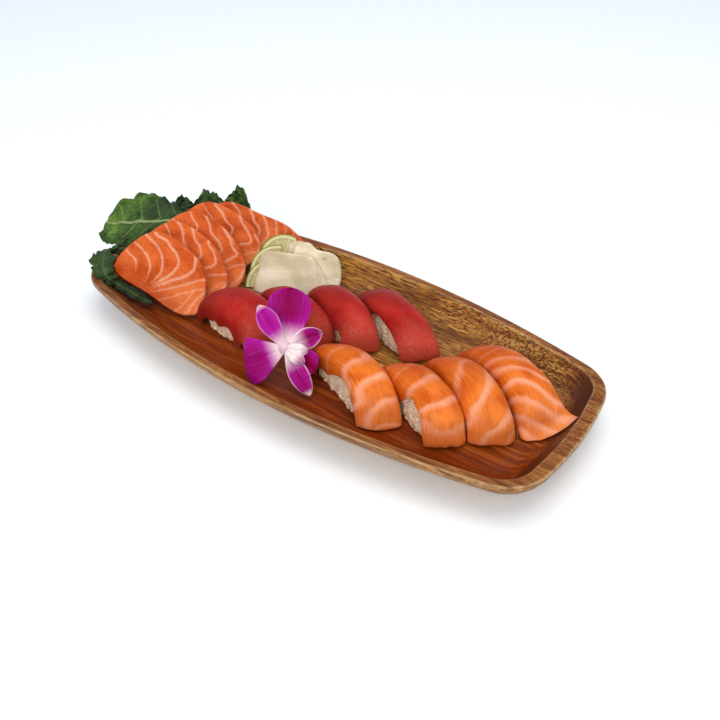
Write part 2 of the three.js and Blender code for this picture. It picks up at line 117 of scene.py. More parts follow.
# %% What the finishes share
def grow_patterns(tree, place, *patterns, turn=0):
    """Noise patterns in a place, each from the size of its cells in mm and its detail."""
    grown = []
    for *size, detail in patterns:
        spread = {"Vector": place, "Scale": cells(*size), "Rotation": (0, 0, turn)}
        spread = add_node(tree, "Mapping", spread)
        grown.append(add_node(tree, "TexNoise", {"Vector": spread, "Scale": 1, "Detail": detail}))
    return grown


def end_finish(material, colour, coats, gloss, relief):
    """Lays coats over a colour and joins it to the shader, with a roughness and a fine relief.

    A coat is its share, as a node or as the name of a mark on the mesh, and its colour. The
    gloss is a pattern and the roughness at its two ends. The relief is a height, its strength
    and its depth in metres."""
    tree = material.node_tree
    for share, code in coats:
        if isinstance(share, str):
            share = add_node(tree, "Attribute", attribute_name=share).outputs["Fac"]
        coat = {"Factor": share, "A": colour, "B": linear(code)}
        colour = add_node(tree, "Mix", coat, data_type="RGBA")
    pattern, low, high = gloss
    rough = add_node(tree, "MapRange", {"Value": pattern, "To Min": low, "To Max": high})
    height, strength, depth = relief
    bump = add_node(tree, "Bump", {"Strength": strength, "Distance": depth, "Height": height})
    feed(tree, tree.nodes[SHADER], {"Base Color": colour, "Roughness": rough, "Normal": bump})
    print("finish:", material.name, "with", len(tree.nodes), "nodes")


print("colour, roughness and relief of every finish go into the", SHADER)

# %% [markdown]
# ## Meshes from arrays
# Food has no straight edges, so most pieces are worked out point by point as arrays: a sheet
# between two surfaces for fish, leaves and petals, and a skin through rings for thick slices.
# Both come out as closed bodies. Numbers stored on the points, such as how near a line of fat
# is, travel with the mesh, and the finishes read them.


# %% Closed bodies
def sheet(upper, lower):
    """Joins two grids of points into one closed body that shares its border."""
    rows, columns = upper.shape[:2]
    top = np.arange(rows * columns).reshape(rows, columns)
    low = top + rows * columns
    low[[0, -1], :] = top[[0, -1], :]
    low[:, [0, -1]] = top[:, [0, -1]]
    faces = []
    for grid in (top, low[:, ::-1]):
        corners = (grid[:-1, :-1], grid[1:, :-1], grid[1:, 1:], grid[:-1, 1:])
        faces.append(np.stack(corners, -1).reshape(-1, 4))
    return np.concatenate([upper.reshape(-1, 3), lower.reshape(-1, 3)]), np.concatenate(faces)


def on_both(**grids):
    """Marks for both surfaces of a sheet, each from one grid of numbers or of places."""
    return {name: np.concatenate([g.reshape(-1, *g.shape[2:])] * 2) for name, g in grids.items()}


def skin(rings, first_pole, last_pole):
    """A closed body through rings of equally many points, with a pole at each end."""
    count, around = rings.shape[:2]
    grid = np.arange(count * around).reshape(count, around)
    grid = np.concatenate([grid, grid[:, :1]], 1)
    corners = (grid[:-1, :-1], grid[:-1, 1:], grid[1:, 1:], grid[1:, :-1])
    faces = np.stack(corners, -1).reshape(-1, 4).tolist()
    pole = count * around
    faces += [(pole, b, a) for a, b in zip(grid[0], grid[0, 1:])]
    faces += [(pole + 1, a, b) for a, b in zip(grid[-1], grid[-1, 1:])]
    return np.concatenate([rings.reshape(-1, 3), [first_pole, last_pole]]), faces


def make_piece(name, points, faces, finish, nodes, marks=None):
    """A piece in the place of its solids: points in mm, and numbers marked on the points."""
    faces = faces.tolist() if isinstance(faces, np.ndarray) else faces
    fan = np.array([(f[0], f[i], f[i + 1]) for f in faces for i in range(1, len(f) - 1)])
    a, b, c = (points[fan[:, i]] for i in range(3))
    if np.einsum("ij,ij->i", a, np.cross(b, c)).sum() < 0:
        faces = [face[::-1] for face in faces]
    used = np.unique(fan)
    order = np.zeros(len(points), int)
    order[used] = np.arange(len(used))
    mesh = bpy.data.meshes.new(name)
    mesh.from_pydata((points[used] * MM).tolist(), [], [[order[i] for i in f] for f in faces])
    for mark, values in (marks or {}).items():
        kind = "FLOAT_VECTOR" if values.ndim == 2 else "FLOAT"
        layer = mesh.attributes.new(mark, kind, "POINT")
        field = "vector" if values.ndim == 2 else "value"
        layer.data.foreach_set(field, values[used].astype(np.float32).ravel())
    mesh.shade_smooth()
    mesh.materials.append(finish)
    piece = bpy.data.objects.new(name, mesh)
    bpy.context.scene.collection.objects.link(piece)
    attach(piece, "root")
    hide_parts(*nodes)
    print(f"{name}: {len(used)} points")
    return piece


# %% Smooth curves and gentle unevenness
def curve(corners, shares, loop=False):
    """Points on a smooth curve through its corners, evenly shared out between them."""
    corners = np.asarray(corners, float)
    if loop:
        run = np.concatenate([corners[-1:], corners, corners[:2]])
        spans = len(corners)
    else:
        before, after = 2 * corners[0] - corners[1], 2 * corners[-1] - corners[-2]
        run = np.concatenate([[before], corners, [after]])
        spans = len(corners) - 1
    place = np.clip(np.asarray(shares, float), 0, 1) * spans
    start = np.minimum(place.astype(int), spans - 1)
    w = (place - start)[..., None]
    p0, p1, p2, p3 = (run[start + i] for i in range(4))
    d0, d1, d2 = (
        np.maximum(np.linalg.norm(q - p, axis=-1, keepdims=True) ** 0.5, 1e-4)
        for p, q in ((p0, p1), (p1, p2), (p2, p3))
    )
    go = ((p1 - p0) / d0 - (p2 - p0) / (d0 + d1) + (p2 - p1) / d1) * d1
    come = ((p2 - p1) / d1 - (p3 - p1) / (d1 + d2) + (p3 - p2) / d2) * d1
    return (
        p1
        + go * w
        + (3 * (p2 - p1) - 2 * go - come) * w**2
        + (2 * (p1 - p2) + go + come) * w**3
    )


def outline_of(corners, count):
    """A closed cut through its corners, with its points evenly spaced along it."""
    fine = curve(corners, np.linspace(0, 1, 2001), loop=True)
    walked = np.concatenate([[0], np.cumsum(np.linalg.norm(np.diff(fine, axis=0), axis=1))])
    stations = np.linspace(0, walked[-1], count, endpoint=False)
    return np.stack([np.interp(stations, walked, fine[:, i]) for i in range(2)], -1)


def unevenness(x, y, size, seed):
    """A soft, repeatable wave between about -1 and 1, with bumps of a given size in mm."""
    total = 0
    for i in range(4):
        angle = 2.4 * i + 1.7 * seed
        run = (x * math.cos(angle) + y * math.sin(angle)) * 2 * math.pi / (size * (0.8 + 0.3 * i))
        total = total + np.sin(run + 2.1 * seed + 1.3 * i)
    return total / 3


def smooth_step(low, high, value):
    share = np.clip((value - low) / (high - low), 0, 1)
    return share * share * (3 - 2 * share)


def turned(turn, pitch, lean):
    """Rotation by a lean about X, then a pitch about Y, then a turn about Z, in degrees."""
    (ct, st), (cp, sp), (cl, sl) = (
        (math.cos(math.radians(a)), math.sin(math.radians(a))) for a in (turn, pitch, lean)
    )
    about_z = np.array([[ct, -st, 0], [st, ct, 0], [0, 0, 1]])
    about_y = np.array([[cp, 0, sp], [0, 1, 0], [-sp, 0, cp]])
    about_x = np.array([[1, 0, 0], [0, cl, -sl], [0, sl, cl]])
    return about_z @ about_y @ about_x


print("a square's smooth outline has", len(outline_of([[0, 0], [1, 0], [1, 1], [0, 1]], 40)))

# %% [markdown]
# ## Camera, floor and light
# The platter is seen from above one side, so the camera turns 36 degrees round it and looks
# down by 39 degrees. The floor is plain and nearly white, and the light is that of a small food
# studio: a broad soft light high above and a little behind, a smaller one in front on the
# right, and a pale surround that the moist surfaces can reflect. The plain view transform keeps
# the white of the floor clean.

# %% Camera
EYE = (0.2709, -0.3305, 0.3448)  # metres
TARGET = (0.04115, -0.01822, 0.026)
scene = bpy.context.scene
scene.view_settings.view_transform = "Standard"
lens = bpy.data.cameras.new("camera")
lens.lens = 40.9
lens.sensor_width = 36
camera = bpy.data.objects.new("camera", lens)
scene.collection.objects.link(camera)
camera.location = EYE
aim = np.array(TARGET) - np.array(camera.location)
camera.rotation_euler = (
    math.acos(-aim[2] / np.linalg.norm(aim)),
    0,
    math.atan2(aim[1], aim[0]) - math.pi / 2,
)
scene.camera = camera
print("camera", round(float(np.linalg.norm(aim)), 3), "m from its target")

# %% Floor
# the paper lies on a table that is faintly lit from below, which keeps the shadow light
FLOOR_REACH = 4.0  # metres from the middle to each side, so no edge of it shows
FLOOR_DROP = 0.0004  # it lies just under the platter's foot
floor_finish, tree = start_finish(
    "matt_paper",
    {"Roughness": 0.9, "Emission Color": linear("#fff4e8"), "Emission Strength": 0.06},
)
tooth = add_node(tree, "TexNoise", {"Scale": 900, "Detail": 3})
paper = add_node(tree, "ValToRGB", {"Fac": tooth}, stops=[(0.3, "#f2f8f9"), (0.7, "#f6fcfd")])
feed(tree, tree.nodes[SHADER], {"Base Color": paper})
floor_mesh = bpy.data.meshes.new("floor")
floor_mesh.from_pydata(
    [(x * FLOOR_REACH, y * FLOOR_REACH, 0) for x, y in ((-1, -1), (1, -1), (1, 1), (-1, 1))],
    [],
    [(0, 1, 2, 3)],
)
floor_mesh.materials.append(floor_finish)
floor = bpy.data.objects.new("floor", floor_mesh)
scene.collection.objects.link(floor)
floor.location.z = -FLOOR_DROP
print("floor:", 2 * FLOOR_REACH, "m across")

# %% Light
world = bpy.data.worlds.new("studio")
scene.world = world
world.use_nodes = True
surround = world.node_tree.nodes["Background"]
feed(world.node_tree, surround, {"Color": linear("#dde8fc"), "Strength": 0.77})
SOFT_LIGHTS = {
    # name: place in metres, width, watts, colour
    "overhead": ((0.1, 0.15, 1.5), 1.2, 11.3, "#fff0de"),
    "front": ((0.45, -1.15, 0.85), 0.9, 9, "#fff4e6"),
}
for name, (place, width, watts, colour) in SOFT_LIGHTS.items():
    light = bpy.data.lights.new(name, "AREA")
    light.size = width
    light.energy = watts
    light.color = linear(colour)[:3]
    holder = bpy.data.objects.new(name, light)
    scene.collection.objects.link(holder)
    holder.location = place
    x, y, z = place
    # it looks at the middle of the platter
    holder.rotation_euler = (math.atan2(math.hypot(x, y), z), 0, math.atan2(y, x) + math.pi / 2)
print("lights:", ", ".join(SOFT_LIGHTS))

# %% [markdown]
# ## The platter's wood
# Acacia is a dense brown hardwood. Its sapwood side is golden, its heartwood side red brown,
# and both carry darker growth bands, fine fibres and short open pores, all running along the
# board. A picture would show the same grain on every face. A solid pattern in space, stretched
# along the board, is cut by each face as real wood is: long streaks on the sides, dots where the
# end walls cross the fibres. The board is sanded and oiled, which gives a soft satin shine.

# %% Oiled acacia
acacia, tree = start_finish(
    "oiled_acacia",
    {"IOR": 1.5, "Specular IOR Level": 0.15, "Coat Weight": 0.1, "Coat Roughness": 0.18},
)
TO_MM = (1000, 1000, 1000)
WANDER = (0, 16, 16)  # how far the fibres stray sideways, in mm
place = add_node(tree, "TexCoord").outputs["Object"]
board = add_node(tree, "VectorMath", {0: place, 1: TO_MM}, operation="MULTIPLY")
(drift,) = grow_patterns(tree, board, (110, 30, 30, 1))
sway = add_node(tree, "VectorMath", {0: drift.outputs["Color"], 1: WANDER}, operation="MULTIPLY")
wood = add_node(tree, "VectorMath", {0: board, 1: sway})
bands, streaks, fibres = grow_patterns(
    tree, wood, (160, 5, 4, 3), (70, 2.4, 1.5, 3), (30, 0.8, 0.8, 4)
)
# pores are cut open as short dark flecks, and as dots where a wall crosses the fibres
flecks, dots = grow_patterns(tree, wood, (8, 0.65, 0.65, 2), (2.0, 1.2, 1.2, 2))

tone = bands
for share, grain in ((0.45, streaks), (0.25, fibres)):
    tone = add_node(tree, "Mix", {"Factor": share, "A": tone, "B": grain}, data_type="FLOAT")
heart, golden = (
    add_node(tree, "ValToRGB", {"Fac": tone}, stops=stops)
    for stops in (
        [(0.36, "#561d02"), (0.49, "#7d3106"), (0.62, "#a04d14")],
        [(0.39, "#6a3a12"), (0.49, "#a2692a"), (0.59, "#c89349")],
    )
)
sapwood_share, crossing, shows, painted_edge_light = (
    add_node(tree, "Attribute", attribute_name=mark).outputs["Fac"]
    for mark in ("sapwood", "crossing", "figure", "painted_edge_light")
)
ground = add_node(
    tree, "Mix", {"Factor": sapwood_share, "A": heart, "B": golden}, data_type="RGBA"
)
fleck = add_node(tree, "ValToRGB", {"Fac": flecks}, stops=[(0.51, 0.0), (0.57, 0.95)])
dot = add_node(tree, "ValToRGB", {"Fac": dots}, stops=[(0.45, 0.0), (0.55, 0.85)])
mark = add_node(tree, "Mix", {"Factor": crossing, "A": fleck, "B": dot}, data_type="FLOAT")
mark = add_node(tree, "Math", {0: mark, 1: shows}, operation="MULTIPLY")
# painted highlight: the eased edges of the rim are painted paler in streaks, and the outside a
# little; painted shade darkens both ends and the outside a little
highlight_streaks = add_node(tree, "ValToRGB", {"Fac": streaks}, stops=[(0.4, 0.35), (0.6, 1.0)])
eased = add_node(tree, "Math", {0: painted_edge_light, 1: highlight_streaks}, operation="MULTIPLY")
relief = add_node(tree, "Math", {0: fibres, 1: mark}, operation="SUBTRACT")
end_finish(
    acacia,
    ground,
    [(mark, "#43230d"), (eased, "#dcbc8e"), ("painted_wood_shade", "#4a220e")],
    (fibres, 0.28, 0.5),
    (relief, 0.25, 0.0002),
)

# %% [markdown]
# ## The platter's shape
# The platter is carved from one board: an outline with bowed sides and ends, a flat rim, a wall
# that runs out into a nearly level floor, and a rounded underside. Boxes and bevels can't follow
# such a form, so it is made as a skin through rings. Every ring is the outline moved inwards by
# some distance, and the two edges of the rim are eased by less than a millimetre, which is
# enough to catch the light as a thin bright line.

# %% Outline of the platter
PLATTER = {
    "half_length": 180,
    "half_width": 79.7,
    "end_half_width": 53.9,
    "end_bulge": 6.5,
    "corner_radius": 29.5,
    "height": 26,
    "floor": 10,
    "side_rim": 5,
    "end_rim": 8,
    "toe": 28,
    "wall_power": 2.2,
}


def bowed_side(x):
    drop = PLATTER["half_width"] - PLATTER["end_half_width"]
    inward = np.array([-2 * drop * x / PLATTER["half_length"] ** 2, -1])
    point = np.array([x, PLATTER["half_width"] - drop * (x / PLATTER["half_length"]) ** 2])
    return point, inward / np.linalg.norm(inward)


def bowed_end(y):
    bulge, reach = PLATTER["end_bulge"], PLATTER["end_half_width"]
    inward = np.array([-1, -2 * bulge * y / reach**2])
    point = np.array([PLATTER["half_length"] - bulge * (y / reach) ** 2, y])
    return point, inward / np.linalg.norm(inward)


def platter_outline(end_steps, arc_steps, side_steps):
    """The outline anticlockwise: points, inward directions and the width of the rim."""
    radius = PLATTER["corner_radius"]
    centre = np.array(
        [
            PLATTER["half_length"] - PLATTER["end_bulge"] - radius,
            PLATTER["end_half_width"] - radius,
        ]
    )
    for _ in range(20):
        side, end = bowed_side(centre[0])[1], bowed_end(centre[1])[1]
        on_side = bowed_side(centre[0] - radius * side[0])
        on_end = bowed_end(centre[1] - radius * end[1])
        centre = np.array(
            [on_end[0][0] + radius * on_end[1][0], on_side[0][1] + radius * on_side[1][1]]
        )
    side, end = bowed_side(centre[0])[1], bowed_end(centre[1])[1]
    quarter = []
    for y in np.linspace(0, centre[1] - radius * end[1], end_steps, endpoint=False):
        quarter.append((*bowed_end(y), PLATTER["end_rim"]))
    start, stop = math.atan2(-end[1], -end[0]), math.atan2(-side[1], -side[0])
    for share in np.linspace(0, 1, arc_steps + 1):
        angle = start + (stop - start) * share
        out = np.array([math.cos(angle), math.sin(angle)])
        rim = PLATTER["end_rim"] + (PLATTER["side_rim"] - PLATTER["end_rim"]) * share
        quarter.append((centre + radius * out, -out, rim))
    for x in np.linspace(centre[0] - radius * side[0], 0, side_steps + 1)[1:]:
        quarter.append((*bowed_side(x), PLATTER["side_rim"]))
    points = np.array([q[0] for q in quarter])
    inward = np.array([q[1] for q in quarter])
    rim = np.array([q[2] for q in quarter])
    flip = np.array([-1, 1])
    points = np.concatenate([points[:-1], (points * flip)[::-1][:-1]])
    inward = np.concatenate([inward[:-1], (inward * flip)[::-1][:-1]])
    rim = np.concatenate([rim[:-1], rim[::-1][:-1]])
    return (
        np.concatenate([points, -points]),
        np.concatenate([inward, -inward]),
        np.concatenate([rim, rim]),
    )


edge, inward, rim_width = platter_outline(8, 16, 40)
print("outline:", len(edge), "stations")


# %% Height of the platter's upper surface
def wall_height(inset, rim):
    """Height of the upper surface at a distance from the outline, in from the rim."""
    down = np.clip((inset - rim) / (PLATTER["toe"] - rim), 0, 1)
    share = (1 - down) ** PLATTER["wall_power"]
    return PLATTER["floor"] + (PLATTER["height"] - PLATTER["floor"]) * share


def well_height(x, y):
    """Height of the surface that the food lies on."""
    flat = np.stack([np.ravel(x), np.ravel(y)], -1)
    # every third station of the outline is near enough
    places, inwards, rims = edge[::3], inward[::3], rim_width[::3]
    away = (flat[:, None, 0] - places[None, :, 0]) * inwards[None, :, 0]
    away = away + (flat[:, None, 1] - places[None, :, 1]) * inwards[None, :, 1]
    nearest = away.argmin(1)
    height = wall_height(away[np.arange(len(flat)), nearest], rims[nearest])
    return height.reshape(np.shape(x))


print("floor height in the middle:", float(well_height(np.array(0.0), np.array(0.0))))

# %% Rings of the platter
# the hull from the foot up to the rim: how far in from the outline and how high, in mm
HULL = [[26, 0], [15, 7], [7.5, 13], [3, 17.5], [0.9, 20.8], [0, 23.5], [0.1, 25.3]]
FOOT_INSET = 34
ARRIS = 0.7  # radius of the eased edges of the rim
RIM_START = 0.8  # where the flat of the rim begins
brow_inset, brow = HULL[-1]
# each ring: its inset at every station, its height, and 1 where it is outside the rim
profile = [
    (np.full(len(edge), inset), height, 1.0)
    for inset, height in [(FOOT_INSET, 0), *curve(HULL, np.linspace(0, 1, 30))]
]
for angle in np.radians([30, 60, 90]):
    inset = brow_inset + ARRIS * (1 - math.cos(angle))
    profile.append((np.full(len(edge), inset), brow + ARRIS * math.sin(angle), 1.0))
for share in np.linspace(0.15, 1, 5):
    inset = RIM_START + (rim_width - ARRIS - RIM_START) * share
    profile.append((inset, PLATTER["height"], 0.0))
for share in (0.25, 0.5, 0.75):
    # a short bend from the flat rim into the steep top of the wall
    inset = rim_width - ARRIS + 2 * ARRIS * share
    bend = PLATTER["height"] - 1.1 * share**2
    profile.append((inset, np.minimum(wall_height(inset, rim_width), bend), 0.0))
for down in np.linspace(0.03, 1, 30) ** 1.15:
    inset = rim_width + (PLATTER["toe"] - rim_width) * down
    profile.append((inset, wall_height(inset, rim_width), 0.0))
rings, outside = [], []
for inset, height, side in profile:
    flat = edge + inward * inset[:, None]
    rings.append(np.concatenate([flat, np.broadcast_to(height, len(flat))[:, None]], 1))
    outside.append(np.full(len(flat), side))
for share in np.linspace(0.9, 0.1, 9):
    # the level floor, spun in to the middle so that its marks are finely spaced too
    flat = (edge + inward * PLATTER["toe"]) * share
    rings.append(np.concatenate([flat, np.full((len(flat), 1), PLATTER["floor"])], 1))
    outside.append(np.zeros(len(flat)))
points, faces = skin(np.array(rings), (0, 0, 0), (0, 0, PLATTER["floor"]))
outside = np.concatenate([*outside, [1, 0]])  # the poles: foot and floor
print("platter:", len(rings), "rings")

# %% Marks on the platter
# each mark is a share from 0 to 1, and fades in or out between two places or heights in mm
x, y, z = points.T
inner = 1 - outside
in_well = inner * smooth_step(25.9, 25, z)
rim = smooth_step(25.6, 25.95, z) * inner
wall = smooth_step(11.5, 16, z) * in_well
# sapwood lies along the far side, and fades at the right end and its corner
sapwood = smooth_step(-34, 2, y + 7 * unevenness(x, y, 90, 3))
sapwood = sapwood * (1 - 0.85 * smooth_step(105, 150, x) * smooth_step(45, 20, y))
sapwood = sapwood * (1 - 0.6 * smooth_step(148, 172, x + 0.2 * y))
near_wall = 0.6 * smooth_step(12.5, 21, z) * smooth_step(-20, -40, y) * smooth_step(150, 120, x)
sapwood = np.maximum(sapwood, near_wall)
sapwood = np.where(in_well < 0.5, 0.85 - 0.35 * rim, sapwood)
# painted shade darkens the wall at the right end and the well at the left end, and the outside a
# little, more towards the left end
painted_wood_shade = 0.92 * smooth_step(140, 160, x) * wall * smooth_step(64, 44, y)
painted_wood_shade = painted_wood_shade + 0.35 * smooth_step(-50, -120, x)
painted_wood_shade = np.where(in_well < 0.5, 0.2 + 0.3 * smooth_step(-90, -150, x), painted_wood_shade)
marks = {
    "sapwood": sapwood,
    # where a wall crosses the fibres
    "crossing": smooth_step(45, 80, x - 0.3 * y) * smooth_step(11, 14, z) * (y > -20),
    # how strongly the pores show
    "figure": np.where(in_well < 0.5, 0.6, 0.15 + 0.75 * smooth_step(-12, 18, y)),
    # painted highlight on the eased edges of the rim, and faintly on the outside
    "painted_edge_light": np.where((z > 25.2) & (z < 25.97), 0.28 + 0.34 * outside, 0.18 * outside * (z > 1)),
    "painted_wood_shade": painted_wood_shade,
}
make_piece("platter", points, faces, acacia, ["tray"], marks)

# %% [markdown]
# ## Salmon
# Raw salmon is orange muscle in layers, divided by pale lines of fat that curve across each
# slice. Light goes a few millimetres into it and comes out redder, and a film of moisture lies
# on top, so the finish has subsurface scattering and a thin clear coat. The place of each fat
# line matters more than any noise could give, so the lines are drawn as short curves on the
# slice, and each point of the mesh keeps how close it is to one. The finish only frays them.


# %% Salmon finish
def salmon_finish(name, deep, bright, fat, fibre):
    """Orange muscle with fine fibres, crossed by the lines of fat marked on the mesh."""
    material, tree = start_finish(
        name,
        {
            "Subsurface Weight": 0.2,
            "Subsurface Radius": (1.0, 0.3, 0.1),
            "Subsurface Scale": 0.002,
            "IOR": 1.38,
            "Specular IOR Level": 0.08,
            "Coat Weight": 0.12,
            "Coat Roughness": 0.12,
        },
    )
    flesh = add_node(tree, "Attribute", attribute_name="flesh").outputs["Vector"]
    near_fat = add_node(tree, "Attribute", attribute_name="fat").outputs["Fac"]
    fibres, cloud, fray = grow_patterns(
        tree, flesh, (*fibre, 4), (12, 9, 9, 2), (1.6, 1.6, 1.6, 3)
    )
    tone = add_node(tree, "Mix", {"Factor": 0.4, "A": cloud, "B": fibres}, data_type="FLOAT")
    muscle = add_node(tree, "ValToRGB", {"Fac": tone}, stops=[(0.38, deep), (0.62, bright)])
    # the fibres fray the lines, which are not equally white along their length
    loose = add_node(tree, "Math", {0: fibres, 1: 0.9, 2: -0.45}, operation="MULTIPLY_ADD")
    line = add_node(tree, "Math", {0: near_fat, 1: loose}, operation="ADD")
    fat_line = add_node(tree, "ValToRGB", {"Fac": line}, stops=[(0.1, 0.0), (0.9, 0.9)])
    patchy = add_node(
        tree,
        "MapRange",
        {"Value": cloud, "From Min": 0.35, "From Max": 0.65, "To Min": 0.75, "To Max": 1.0},
    )
    fat_line = add_node(tree, "Math", {0: fat_line, 1: patchy}, operation="MULTIPLY")
    height = add_node(tree, "Math", {0: fibres, 1: 0.6, 2: fray}, operation="MULTIPLY_ADD")
    # painted light makes it a lighter, clearer orange towards the near end, which faces the light;
    # painted shade makes it a deeper and redder one where a slice hangs in shade, at the far end
    # and far edge over rice and along the foot of a thick slice
    coats = [("near_end", "#f3985a"), (fat_line, fat), ("thin", "#a83c10")]
    end_finish(material, muscle, coats, (fray, 0.26, 0.46), (height, 0.22, 0.0003))
    return material


# Over rice the fibres run along the slice. In the thick slices they fan out from the skin side.
salmon_loin = salmon_finish("salmon_loin", "#c8560c", "#e87c24", "#f0a680", (9, 0.7, 2))
salmon_slab = salmon_finish("salmon_slab", "#b94711", "#dd6c30", "#ebaa8a", (3, 1.0, 2))


# %% Lines of fat on a slice
def near_lines(places, lines, finer=1.0):
    """How near each place is to a line of fat: 1 on the line, less beside it.

    Each line is its width in mm, its strength and the places that it runs through."""
    nearest = np.zeros(len(places))
    for width, strength, route in lines:
        run = curve(route, np.linspace(0, 1, 8 * len(route))) if len(route) > 1 else route
        start, step = np.asarray(run)[:-1], np.diff(run, axis=0)
        length = np.maximum((step**2).sum(1), 1e-9)
        along = ((places[:, None] - start) * step).sum(2) / length
        closest = start + np.clip(along, 0, 1)[..., None] * step
        offset = places[:, None] - closest
        away = np.linalg.norm(offset, axis=2)
        which = away.argmin(1)
        row = np.arange(len(places))
        away = away[row, which]
        beyond = offset[row, which, 0] / np.maximum(away, 1e-6)
        # it fades over a longer way on the side of the higher X
        reach = finer * width / 2 * (1.05 + 0.45 * beyond)
        nearest = np.maximum(nearest, strength * np.exp(-0.8 * (away / reach) ** 2))
    return nearest


line_of_fat = (2, 1, [[-5, 0], [5, 0]])
print("half a mm from a 2 mm line:", near_lines(np.array([[0, 0.5]]), [line_of_fat]))

# %% [markdown]
# ## Tuna
# Lean tuna has no white lines. It is deep red, a little purple where the light grazes it, with
# short fine fibres and a brownish painted shade at its far end and far edge. The same moist coat
# lies on it, and its near end, which catches the light, is painted a paler red, with a few
# specks of sinew.

# %% Lean tuna finish
lean_tuna, tree = start_finish(
    "lean_tuna",
    {
        "Subsurface Weight": 0.15,
        "Subsurface Radius": (1.0, 0.12, 0.08),
        "Subsurface Scale": 0.0018,
        "IOR": 1.38,
        "Specular IOR Level": 0.1,
        "Coat Weight": 0.08,
        "Coat Roughness": 0.2,
        "Sheen Weight": 0.1,
        "Sheen Roughness": 0.35,
        "Sheen Tint": linear("#ffc8c4"),
    },
)
flesh = add_node(tree, "Attribute", attribute_name="flesh").outputs["Vector"]
near_end = add_node(tree, "Attribute", attribute_name="near_end").outputs["Fac"]
slanted = add_node(tree, "Mapping", {"Vector": flesh, "Rotation": (0, 0, 0.5)})
fibres, sinew = grow_patterns(tree, slanted, (7, 0.8, 2, 4), (2.4, 0.5, 2, 2))
(cloud,) = grow_patterns(tree, flesh, (16, 10, 9, 2))
tone = add_node(tree, "Mix", {"Factor": 0.35, "A": cloud, "B": fibres}, data_type="FLOAT")
muscle = add_node(
    tree, "ValToRGB", {"Fac": tone}, stops=[(0.36, "#96170f"), (0.5, "#a91f17"), (0.64, "#b82c22")]
)
pale = add_node(tree, "ValToRGB", {"Fac": sinew}, stops=[(0.54, 0.0), (0.68, 0.75)])
pale = add_node(tree, "Math", {0: pale, 1: near_end}, operation="MULTIPLY")
lit_end = add_node(tree, "Math", {0: near_end, 1: 0.42}, operation="MULTIPLY")
# painted light: a paler red with specks of sinew at the near end; painted shade: brownish at the
# far end and edge
coats = [(pale, "#d9786c"), (lit_end, "#e06a50"), ("thin", "#7e1d14")]
end_finish(lean_tuna, muscle, coats, (cloud, 0.36, 0.5), (fibres, 0.16, 0.0003))

# %% [markdown]
# ## Sushi rice
# Short grains, about 5.5 mm long and 2.8 mm wide, are cooked until they are glassy and stick
# together. A bumpy block would look like foam, so real grains lie over a core, packed at random
# directions in its surface. Cooked starch lets light through, so the finish scatters it by
# about a millimetre.

# %% Cooked rice finish
cooked_rice, tree = start_finish(
    "cooked_rice",
    {
        "Subsurface Weight": 0.4,
        "Subsurface Radius": (1.0, 0.85, 0.7),
        "Subsurface Scale": 0.0012,
        "IOR": 1.4,
        "Specular IOR Level": 0.25,
        "Coat Weight": 0.06,
        "Coat Roughness": 0.25,
    },
)
tint = add_node(tree, "Attribute", attribute_name="grain").outputs["Fac"]
place = add_node(tree, "TexCoord").outputs["Object"]
clouding = add_node(tree, "TexNoise", {"Vector": place, "Scale": 700, "Detail": 2})
shade = add_node(tree, "Mix", {"Factor": 0.45, "A": tint, "B": clouding}, data_type="FLOAT")
starch = add_node(tree, "ValToRGB", {"Fac": shade}, stops=[(0.2, "#e4c2a0"), (0.8, "#eed6bc")])
end_finish(cooked_rice, starch, [], (clouding, 0.38, 0.55), (clouding, 0.1, 0.0002))

# %% [markdown]
# ## Nigiri
# A nigiri is a pressed block of rice with a slice of fish draped over it, down to the board at
# both ends. The block is a rounded box, best written as a curve with an exponent a little over
# two. The slice follows it along its length and bends down a little at its long edges, with
# ends that were cut at a slant. For part of the way its near edge is lifted off the rice, so
# that the grains show. Both are laid on the platter by adding the height below them.

# %% Measures of the nigiri
ROUNDNESS = 2.5  # exponent of the rounded block along and around a nigiri
FISH = {
    "thickness": 6,
    "side": 2.2,  # its thickness at the long edges
    "crown": 4,  # exponent of its shape across: more is flatter on top and steeper at the edges
    "pull": 0.25,  # how far the long edges draw in at the ends, as a share of their drop
    "wave": 0.3,  # how far its top is uneven
    "groove": 0.22,  # how deep a line of fat lies
}
GAP = 0.35  # room between the food and the platter

# Centre, turn, length, width and height; slant of the slice's ends, spread of each end, bow of
# the axis, shares of the rice's half width where the near and far edges lie, trailing corner,
# and the run (-1 to 1) over which the near edge is lifted off the rice. Beyond it the edge hangs.
SALMON_NIGIRI = [
    dict(x=46.6, y=-31.6, turn=-23, length=72, width=23.6, height=28.5,
         skew=0.5, spread=(0, 4), bow=-4, edges=(0.87, 0.95), tail=0, lifted=(-0.2, 1.12)),
    dict(x=88.7, y=-22.7, turn=-27, length=66, width=23.4, height=28.5,
         skew=0.45, spread=(0, 2), bow=-3, edges=(0.78, 0.95), tail=0, lifted=(-0.08, 1.5)),
    dict(x=109, y=-2, turn=-31, length=71, width=24, height=28,
         skew=0.4, spread=(0, 2), bow=-3, edges=(0.9, 0.96), tail=0, lifted=(0.3, 1.5)),
    dict(x=123, y=22.6, turn=-23, length=76, width=25, height=27,
         skew=0.3, spread=(2, 9), bow=-4, edges=(1, 0.95), tail=3.5, lifted=(0, 0)),
]
